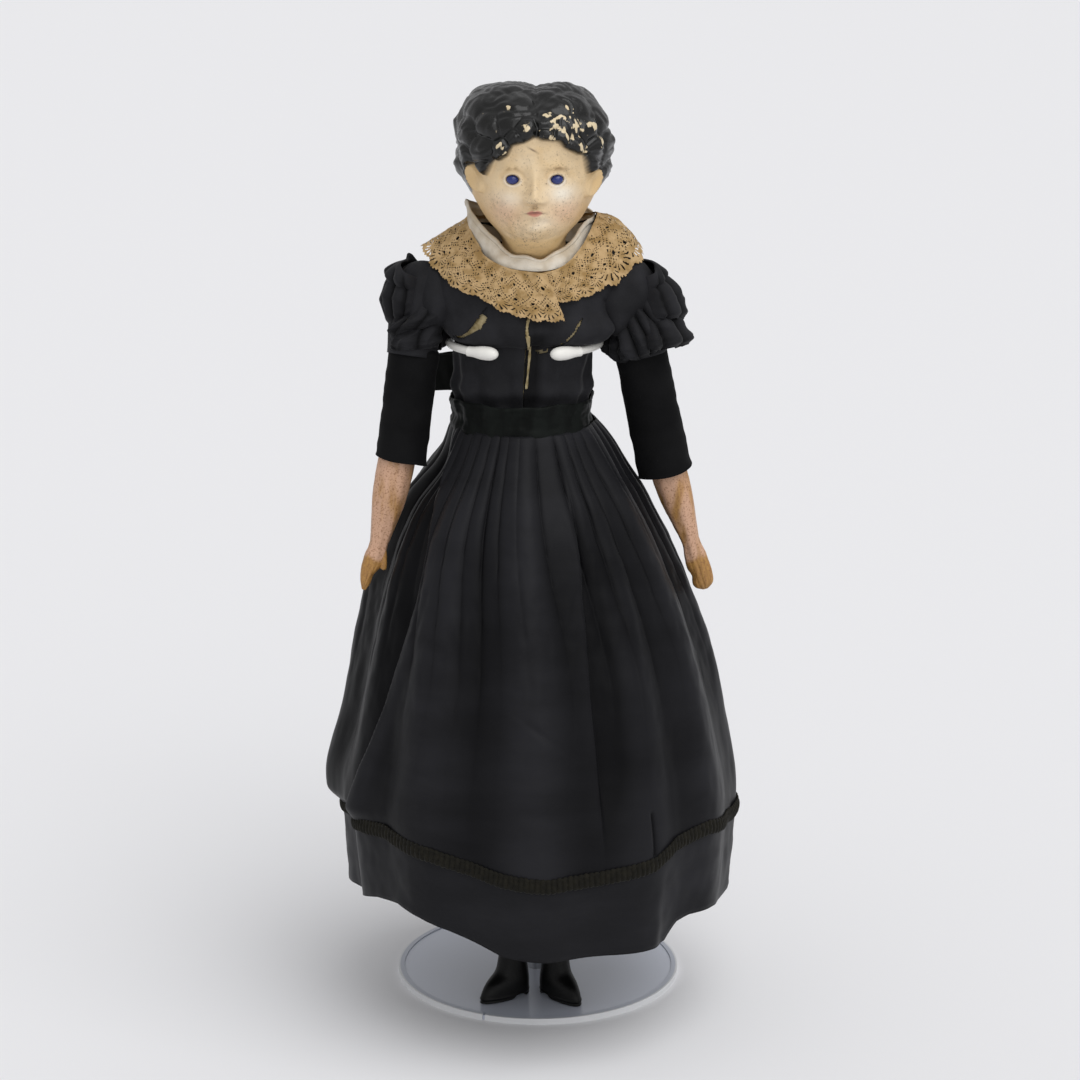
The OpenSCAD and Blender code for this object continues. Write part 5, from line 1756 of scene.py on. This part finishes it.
@dataclass(frozen=True)
class Leg:
    """One leg: stuffed thigh and carved lower leg with its painted boot, hung from the hip."""

    side: Side
    hip: Array
    toe_out: float
    thigh_l: float = 147.0
    shin_l: float = 120.0

    def thigh(self, u: Array, v: Array) -> Array:
        """Return the stuffed thigh.

        Args:
            u: Share round.
            v: Share down.

        Returns:
            Points.
        """
        a = u * 360
        z, radius = spline(np.array([
            (-0.2, 0), (-1.4, 4.5), (-4.6, 8), (-11, 10), (-40, 10), (-90, 9.3), (-128, 9.1), (-137, 9.2),
            (-141, 8.9), (-146, 9.2), (-147, 8.4), (-147, 0),
        ]), v * 11).T
        seam = 0.35 * cosd(a * 12) * bump(z + 141, 5) - 0.5 * bump((a + 90) % 360 - 180, 6)
        reach = np.maximum(radius, 0) + seam
        return self.hip + xyz(reach * cosd(a), reach * sind(a), z)

    def boot(self, u: Array, v: Array) -> Array:
        """Return the lower leg and boot: pointed toe, small heel, turned out.

        Args:
            u: Share round.
            v: Share up.

        Returns:
            Points.
        """
        a = u * 360
        z, wide, toe, heel = spline(np.array([
            (0, 0.1, 0.1, 0.1), (0, 6.8, 20.4, 8.4), (1.6, 7.4, 21.6, 8.9), (4.2, 7.6, 21.4, 9),
            (9, 7.6, 18, 8.9), (14, 7, 11, 8.4), (21, 6.7, 8.5, 7.3), (32, 6.3, 6.9, 6.7),
            (60, 8.2, 8.2, 8.6), (90, 9.2, 9.2, 9.2), (119.5, 9, 9, 9), (120, 0.1, 0.1, 0.1),
        ]), v * 11).T
        reach = np.where(sind(a) < 0, toe, heel)
        point = 1 - 0.1 * np.maximum(-sind(a), 0) ** 2 * ease((16 - z) / 8)
        x, y = wide * cosd(a) * point, reach * sind(a)
        arch = -3.0 + np.sqrt(np.maximum(5.4**2 - (y + 1.5) ** 2, 0))
        z = np.maximum(z, np.where(np.abs(y + 1.5) < 4.5, arch, 0))
        welt = 0.35 * bump(z - 2.4, 0.5) - 0.25 * bump(z - 24, 0.7)
        x, y = x * (1 + welt / 8), y * (1 + welt / 14)
        turn = radians(self.side.value * self.toe_out)
        out = xyz(x * np.cos(turn) - y * np.sin(turn), x * np.sin(turn) + y * np.cos(turn), z)
        return self.hip + (0, 0, -self.thigh_l - self.shin_l) + out

    def build(self) -> None:
        """Make the thigh and the booted lower leg."""
        word = self.side.word
        thigh = lay_grid(f"stuffed_thigh_{word}", 48, 70, self.thigh, weld=True)
        dress(thigh, f"leg_{word}", "muslin", MUSLIN, f"thigh_{word}")
        boot = lay_grid(f"carved_boot_{word}", 72, 120, self.boot, lambda u, v: {"bare": 0 * u}, weld=True)
        dress(boot, f"leg_{word}", "painted_wood", BOOT_PAINT, f"shin_{word}")


@dataclass(frozen=True)
class Windings:
    """Thread that ties and hangs the limbs: wound rings at the cuffs, and twisted cords at the joints.

    It is drawn thicker than real sewing thread, so that its turns show.
    """

    def ring(self, node: str) -> None:
        """Wind thread round a cuff where a binding node lies.

        Args:
            node: Name of the CAD node.
        """
        body = f"{'arm' if node.startswith('arm') else 'leg'}_{node.rsplit('_', 1)[1]}"
        points, (across, up, along) = main_axes(node)
        middle = points.mean(axis=0)
        radius = np.linalg.norm((points - middle) @ np.array([across, up]).T, axis=1).max() - 0.5
        half = np.abs((points - middle) @ along).max() - 0.5

        def surface(u: Array, v: Array) -> Array:
            """Run a thin tube round the cuff in close turns.

            Args:
                u: Share round the thread.
                v: Share along it.

            Returns:
                Points.
            """
            a = v * 360 * 5
            r = radius + 0.45 * cosd(u * 360)
            rise = mix(-half, half, v) + 0.45 * sind(u * 360)
            return middle + np.outer(r * cosd(a), across) + np.outer(r * sind(a), up) + np.outer(rise, along)

        winding = lay_grid(f"thread_{node}", 8, 240, surface, weld=True)
        dress(winding, body, "linen_thread", THREAD, node)

    def cord(self, node: str) -> None:
        """Lay a twisted cord where a stitch or seam node lies.

        Args:
            node: Name of the CAD node.
        """
        points, (along, across, up) = main_axes(node)
        middle = points.mean(axis=0)
        half = np.abs((points - middle) @ along).max()

        def surface(u: Array, v: Array) -> Array:
            """Twist three strands into one round cord.

            Args:
                u: Share round the cord.
                v: Share along it.

            Returns:
                Points.
            """
            a = u * 360 + v * 900
            r = 1.3 + 0.18 * cosd(u * 1080)
            return (middle + np.outer(mix(-half, half, v), along)
                    + np.outer(r * cosd(a), across) + np.outer(r * sind(a), up))

        dress(lay_grid(f"cord_{node}", 24, 60, surface, weld=True), "doll", "linen_thread", THREAD, node)

    def build(self) -> None:
        """Make the windings and cords of both sides."""
        for side in Side:
            for limb in ("arm", "leg"):
                self.ring(f"{limb}_binding_{side.word}")
            for joint in ("shoulder_stitch", "hip_seam"):
                self.cord(f"{joint}_{side.word}")


@dataclass(frozen=True)
class Waist:
    """Loose ribbon round the waist, and the bow behind."""

    x: float
    y: float
    low_z: float
    high_z: float
    half_w: float = 35.2
    half_d: float = 42.0
    loop_right: float = 44.0
    loop_left: float = 29.0
    band_t: float = 0.7
    bow_t: float = 0.6

    def band(self, u: Array, v: Array) -> Array:
        """Return the ribbon, higher in front, wavy at its edges and creased across.

        Args:
            u: Share round.
            v: Share up.

        Returns:
            Points.
        """
        a = u * 360
        ripple = 0.8 * sind(a * 5 + 40) + 0.6 * sind(a * 11)
        z = mix(self.low_z - 2.2, self.high_z, v) + ripple * (v - 0.4) + 2.0 * np.maximum(-sind(a), 0) * v
        points = xyz(self.x + self.half_w * cosd(a), self.y + self.half_d * sind(a), z)
        crease = 0.9 * rough(points * (1, 1, 0.3), 7.0, 3)
        crease = crease + 0.6 * bump(v - 0.93, 0.05) - 0.8 * bump(v - 0.45, 0.22)
        crease = crease + 0.7 * rough(points * (0.5, 0.5, 1.6), 6.0, 2, 3.0)
        return points + xyz(crease * cosd(a), crease * sind(a), 0 * crease)

    def loop(self, side: Side) -> Surface:
        """Return the surface of one flattened ribbon loop of the bow.

        Args:
            side: Side of the loop.

        Returns:
            The loop's surface.
        """
        length = self.loop_right if side is Side.RIGHT else self.loop_left

        def surface(u: Array, v: Array) -> Array:
            """Run the ribbon out from the knot and back.

            Args:
                u: Share along the ribbon.
                v: Share up.

            Returns:
                Points.
            """
            t = u * 360
            out = (1 - cosd(t)) / 2
            x = side.value * (2 + out * length)
            y = 4.0 * sind(t) * np.maximum(sind(180 * (0.12 + 0.8 * out)), 0) ** 0.7 + 1.5 * out
            z = (v - 0.5) * mix(9, 19, ease(out * 1.6)) - 2.0 * out**2
            points = xyz(self.x + x, self.y + self.half_d + 4.6 + y, self.high_z + 3.5 + z)
            return points + 0.8 * rough(points, 9.0, 2)[:, None] * (0.3, 1, 0.5)
        return surface

    def knot(self, u: Array, v: Array) -> Array:
        """Return the knot: a ribbon turned once round the middle of the bow.

        Args:
            u: Share round.
            v: Share up.

        Returns:
            Points.
        """
        a = u * 360
        bulge = 1 + 0.25 * sind(v * 180)
        x = self.x + 5.2 * bulge * cosd(a) * (0.8 + 0.2 * np.abs(cosd(a)))
        y = self.y + self.half_d + 5.0 + 4.6 * bulge * sind(a)
        return xyz(x, y, self.high_z + 2 + (v - 0.5) * 17 + 1.2 * sind(a * 2))

    def build(self) -> None:
        """Make the waistband and the bow."""
        band = lay_grid("ribbon_waistband", 240, 22, self.band, weld=True)
        thicken(band, self.band_t)
        dress(band, "doll", "ribbon", RIBBON, "waistband")
        parts = [lay_grid(f"loop_{s.word}", 80, 14, self.loop(s), weld=True) for s in Side]
        bow = join("ribbon_bow", [*parts, lay_grid("knot", 40, 10, self.knot, weld=True)])
        thicken(bow, self.bow_t)
        dress(bow, "doll", "ribbon", RIBBON, "sash_bow")


@dataclass(frozen=True)
class Skirt:
    """Bell skirt of black silk with unpressed pleats, its hem band and the ruched braid over the join."""

    waist: Waist
    top_z: float
    braid_z: float
    hem_z: float
    x: float = -2.0
    y: float = -39.0
    radius: float = 104.0
    hem_pull: float = 3.0
    hem_keys: tuple[tuple[float, float], ...] = (
        (90, 4), (180, 5), (202, 9.5), (216, 16.5), (227, 19), (236, 16.5), (245, 12), (253, 7), (261, 2),
        (274, -0.5), (303, -0.5), (312, -0.5), (315.5, 3.5), (318, 6.5), (323, 8), (333, 7), (349, 3),
        (360, 3), (450, 4),
    )
    braid_keys: tuple[tuple[float, float], ...] = (
        (90, 8), (180, 7), (208, 13), (222, 15.5), (241, 12.5), (253, 7), (261, 3), (274, 0.8), (288, 2),
        (305, 5.5), (314, 11.5), (327, 14), (351, 6.5), (360, 7), (450, 8),
    )
    fold_keys: tuple[tuple[float, float], ...] = (
        (0, 205), (0.11, 215), (0.18, 222), (0.25, 225.5), (0.32, 226.5), (0.4, 226), (0.505, 223.2),
        (0.642, 219.5), (0.782, 214.5), (0.902, 209.5), (1, 205),
    )
    deep_keys: tuple[tuple[float, float], ...] = (
        (0.1, 296), (0.18, 294.5), (0.352, 291.5), (0.575, 289.5), (1, 289),
    )
    silk_t: float = 0.8
    braid_t: float = 0.5

    def share(self, down: Array) -> Array:
        """Return how far the skirt has spread from the waist towards its full width.

        Args:
            down: Share of the way to the braid.

        Returns:
            Shares from 0 to 1.
        """
        keys = np.array([(0, 0), (0.037, 0.075), (0.074, 0.145), (0.13, 0.285), (0.194, 0.42), (0.31, 0.585),
                         (0.444, 0.725), (0.57, 0.83), (0.694, 0.91), (0.81, 0.965), (0.92, 1.0), (1.0, 1.0)])
        smooth = sum(np.interp(down + k, keys[:, 0], keys[:, 1]) for k in (-0.03, -0.015, 0, 0.015, 0.03)) / 5
        return mix(np.interp(down, keys[:, 0], keys[:, 1]), smooth, ease(down / 0.05))

    def folds(self, angle: Array, down: Array) -> tuple[Array, Array]:
        """Work out the skirt's folds.

        Args:
            angle: Degrees round the skirt.
            down: Share of the way from the waist to the braid.

        Returns:
            How far the cloth stands out in millimetres, and how much painted shade its folds get, from 0 to
            1.
        """
        wander = angle + 4 * sind(angle * 3 + 20) + 2 * sind(angle * 7)
        uneven = 0.6 + 0.4 * sind(angle * 5 + 40) * sind(angle * 11 + 30)
        pleat = np.abs(np.sin(np.radians(wander) * 19 + 0.5 * np.sin(down * 9))) ** 0.45 - 1
        depth = lookup(down, [
            (0, 1.0), (0.04, 2.8), (0.12, 4.2), (0.25, 3.4), (0.45, 1.6), (0.65, 0.4), (1, 0),
        ])
        broad = lookup(down, [(0, 0.4), (0.194, 1.6), (0.444, 2.6), (0.8, 2.6), (1, 1.8)])
        swell = cosd(angle * 12 + 25 * sind(angle * 2)) - 1
        behind = (lookup(down, self.fold_keys) - angle) % 360
        side = ease(behind / 2.5) * ease((60 - behind) / 45) * ease(down / 0.12) * ease((1.15 - down) / 0.25)
        crest = bump(wrapped(behind) + 2.5, 2.5)
        crest = crest * ease((down - 0.1) / 0.2) * ease((1.05 - down) / 0.2)
        past = (angle - lookup(down, self.deep_keys)) % 360
        deep = ease(past / 1.6) * ease((22 - past) / 16)
        deep = deep * ease((down - 0.06) / 0.25) * ease((1.02 - down) / 0.3)
        slit = bump(wrapped(angle - 305), 0.5)
        slit = slit * ease((down - 0.86) / 0.02) * ease((0.99 - down) / 0.01)
        right = wrapped(angle - 188)
        bulge = 7.5 * bump(right, 17) * bump(down - 0.9, 0.13)
        bulge = bulge - 8.0 * bump(right - 4, 24) * ease((down - 0.94) / 0.06)
        hump = 4.0 * bump(wrapped(angle - 12), 40) * bump(down - 0.05, 0.06)
        hump = hump - 3.0 * bump(right, 40) * bump(down - 0.1, 0.08)
        out = depth * pleat * uneven + broad * swell - 5.0 * side + crest - 6.0 * deep
        out = out - 2.5 * slit + bulge + hump
        # Painted shade: the pleats' valleys, the deep fold and the slit are darkened, less on the crest. So
        # is the side panel behind the front panel's edge, which is also duller cloth.
        shaded = ease(behind / 2.5) * ease((95 - behind) / 35) * ease(down / 0.12)
        valley = -pleat * np.minimum(depth / 2.0, 1) * uneven - 0.35 * swell * ease(down / 0.3)
        valley = valley + 0.75 * shaded
        return out, np.clip(valley + deep + slit - 0.5 * crest, 0, 1)

    def at(self, angle: Array, down: Array, lift: float = 0.0) -> Array:
        """Return points of the skirt at angles and shares of the way down to the braid.

        Args:
            angle: Degrees round the skirt.
            down: Share of the way to the braid.
            lift: Distance off the skirt.

        Returns:
            Points.
        """
        share = self.share(down)
        r = self.folds(angle, down)[0] + lift
        wide = mix(self.waist.half_w, self.radius, share) + r
        thick = mix(self.waist.half_d, self.radius, share) + r
        rise = lookup((angle - 90) % 360 + 90, self.braid_keys) * down**2.5
        return xyz(mix(self.waist.x, self.x, ease(down)) + wide * cosd(angle),
                   mix(self.waist.y, self.y, down) + thick * sind(angle),
                   mix(self.top_z, self.braid_z, down) + rise)

    def cloth(self, u: Array, v: Array) -> Array:
        """Return the skirt from the waist to the braid.

        Args:
            u: Share round.
            v: Share down.

        Returns:
            Points.
        """
        angle = u * 360 + 90
        points = self.at(angle, v)
        soft = 0.9 * rough(points * (1, 1, 0.4), 22.0, 3) * ease(v / 0.15)
        wrinkle = 0.55 * rough(points * (1, 1, 0.45), 7.0, 2, 8.0) * bump(v - 0.42, 0.25)
        slant = (points[:, 0] - 10) * 0.75 + points[:, 2] - 170
        wrinkle = wrinkle - 0.9 * bump(slant, 2.2) * bump(points[:, 0] - 5, 14) * ease(-sind(angle))
        soft = soft + wrinkle
        return points + xyz(soft * cosd(angle), soft * sind(angle), 0 * soft)

    def band(self, u: Array, v: Array) -> Array:
        """Return the hem band, drawn in towards an uneven hem, with a slit at the front left.

        Args:
            u: Share round.
            v: Share down.

        Returns:
            Points.
        """
        angle = u * 360 + 90
        ring = self.at(angle, np.ones(len(u)))
        turned = (angle - 90) % 360 + 90
        pull = self.hem_pull * v + 0.9 * sind(angle * 9 + 30) * v
        pull = pull + 2.5 * v * ease((turned - 306) / 5) * ease((330 - turned) / 18)
        z = mix(ring[:, 2] + 0.5, self.hem_z + lookup(turned, self.hem_keys), v)
        points = ring + xyz(-pull * cosd(angle), -pull * sind(angle), z - ring[:, 2])
        soft = 0.5 * rough(points, 9.0, 2, 1.0)
        return points + xyz(soft * cosd(angle), soft * sind(angle), 0.4 * soft)

    def braid(self, u: Array, v: Array) -> Array:
        """Return the ruched braid: a narrow band gathered into small scallops on both edges.

        Args:
            u: Share round.
            v: Share up.

        Returns:
            Points.
        """
        angle = u * 360 + 90
        ruche = np.abs(sind(angle * 125 + 60 * sind(angle * 7)))
        lift = 0.8 + (0.5 + 0.8 * ruche) * np.maximum(sind(v * 180), 0) ** 0.5 - 0.5 * bump(v - 0.75, 0.08)
        ring = self.at(angle, np.ones(len(u)), 0.0)
        wave = (v - 0.5) * 7.2 * (0.9 + 0.16 * ruche) + 0.3 * rough(ring, 3.0, 2) + 0.5
        return ring + xyz(lift * cosd(angle), lift * sind(angle), wave)

    def build(self) -> None:
        """Make the skirt, its hem band and the braid."""
        # The fold value paints shade into the skirt's folds.
        skirt = lay_grid("silk_skirt", 600, 150, self.cloth,
                         lambda u, v: {"fold": self.folds(u * 360 + 90, v)[1]}, weld=True)
        thicken(skirt, self.silk_t)
        dress(skirt, "doll", "black_silk", SILK, "skirt")
        band = lay_grid("silk_hem_band", 360, 16, self.band, weld=True)
        thicken(band, self.silk_t)
        dress(band, "doll", "black_silk", SILK, "hem_band")
        braid = lay_grid("ruched_braid", 2000, 10, self.braid, weld=True)
        thicken(braid, self.braid_t)
        dress(braid, "doll", "braid", BRAID, "hem_braid")


@dataclass(frozen=True)
class Torso:
    """Stuffed muslin body inside the clothes."""

    form: BodyForm

    def surface(self, u: Array, v: Array) -> Array:
        """Return the stuffed body, seamed down its sides and closed at both ends.

        Args:
            u: Share round.
            v: Share up.

        Returns:
            Points.
        """
        angle = u * 360
        row = np.clip((v - 0.03) / 0.94, 0, 1) * 9
        seam = -0.8 * (bump(wrapped(angle), 4) + bump(angle - 180, 4))
        points = self.form.off(angle, np.clip(row, 0.05, 8.95), seam - 0.3)
        middle = np.array((self.form.x + 3, self.form.y, 0.0))
        shut = np.clip(np.minimum(v, 1 - v) / 0.03, 0, 1)[:, None]
        return np.where(shut < 1, mix(middle + points * (0, 0, 1), points, shut), points)

    def build(self) -> None:
        """Make the stuffed body."""
        torso = lay_grid("stuffed_torso", 96, 90, self.surface, weld=True)
        dress(torso, "doll", "muslin", MUSLIN, "torso")


def main_axes(node: str) -> tuple[Array, Array]:
    """Return a CAD node's points in millimetres, and its three main directions, longest first."""
    points = np.array([v.co for v in frame["nodes"][node].data.vertices]) / MM
    return points, np.linalg.svd(points - points.mean(axis=0), full_matrices=False)[2]


def joint_place(name: str) -> Array:
    """Return a joint's place in millimetres."""
    return np.array(next(j for j in frame["joints"] if j["name"] == name)["pos_m"]) / MM


def main() -> None:
    """Build the scene around the frame."""
    logging.basicConfig(level=logging.INFO, format="%(message)s")
    Stage().build()
    Stand().build()
    crown_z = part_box("head_shell")[1][2] / MM
    head_h = 79.0  # from the chin to the top of the hair
    head_shift = 4.0  # the head stands a little to the doll's left
    clip = (np.array(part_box("clip_wire")[0]) + np.array(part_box("clip_wire")[1])) / 2 / MM
    shoulders = {side: joint_place(f"shoulder_{side.word}") for side in Side}
    hips = {side: joint_place(f"hip_{side.word}") for side in Side}
    body_x = sum(p[0] for p in shoulders.values()) / 2
    form = BodyForm(body_x, shoulders[Side.LEFT][1], hips[Side.LEFT][2], clip[2])
    shoulder_z = form.clip_z + form.rise
    Torso(form).build()
    Head(form, body_x + head_shift, crown_z - head_h).build()
    collar = Collar(form, shoulder_z)
    collar.build()
    Bodice(form, collar).build()
    Arm(
        side=Side.RIGHT, pivot=shoulders[Side.RIGHT], splay=8.0, pitch=10.0, sleeve_l=85.5, cap_end=3.5,
        cap_lobe=0.3, puff_cut=(0.10, 0.12), forearm_splay=12.5, hand=Hand.POINTED, forearm_l=82.0,
        flare=0.0, drift=-0.9,
    ).build()
    Arm(
        side=Side.LEFT, pivot=shoulders[Side.LEFT], splay=11.0, pitch=1.0, sleeve_l=94.0, cap_end=13.0,
        cap_lobe=0.5, puff_cut=(0.12, 0.13), forearm_splay=17.5, hand=Hand.PADDLE, forearm_l=88.0,
        flare=0.08, drift=1.0,
    ).build()
    for side, toe_out in ((Side.RIGHT, 48.0), (Side.LEFT, 34.0)):
        Leg(side, hips[side], toe_out).build()
    Windings().build()
    band_low, band_high = (np.array(c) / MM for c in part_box("waistband"))
    waist = Waist(*((band_low + band_high) / 2)[:2], band_low[2], band_high[2])
    waist.build()
    skirt_low, skirt_high = (np.array(c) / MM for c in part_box("skirt"))
    Skirt(waist, skirt_high[2], skirt_low[2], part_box("hem_band")[0][2] / MM).build()


if __name__ == "__main__":
    main()
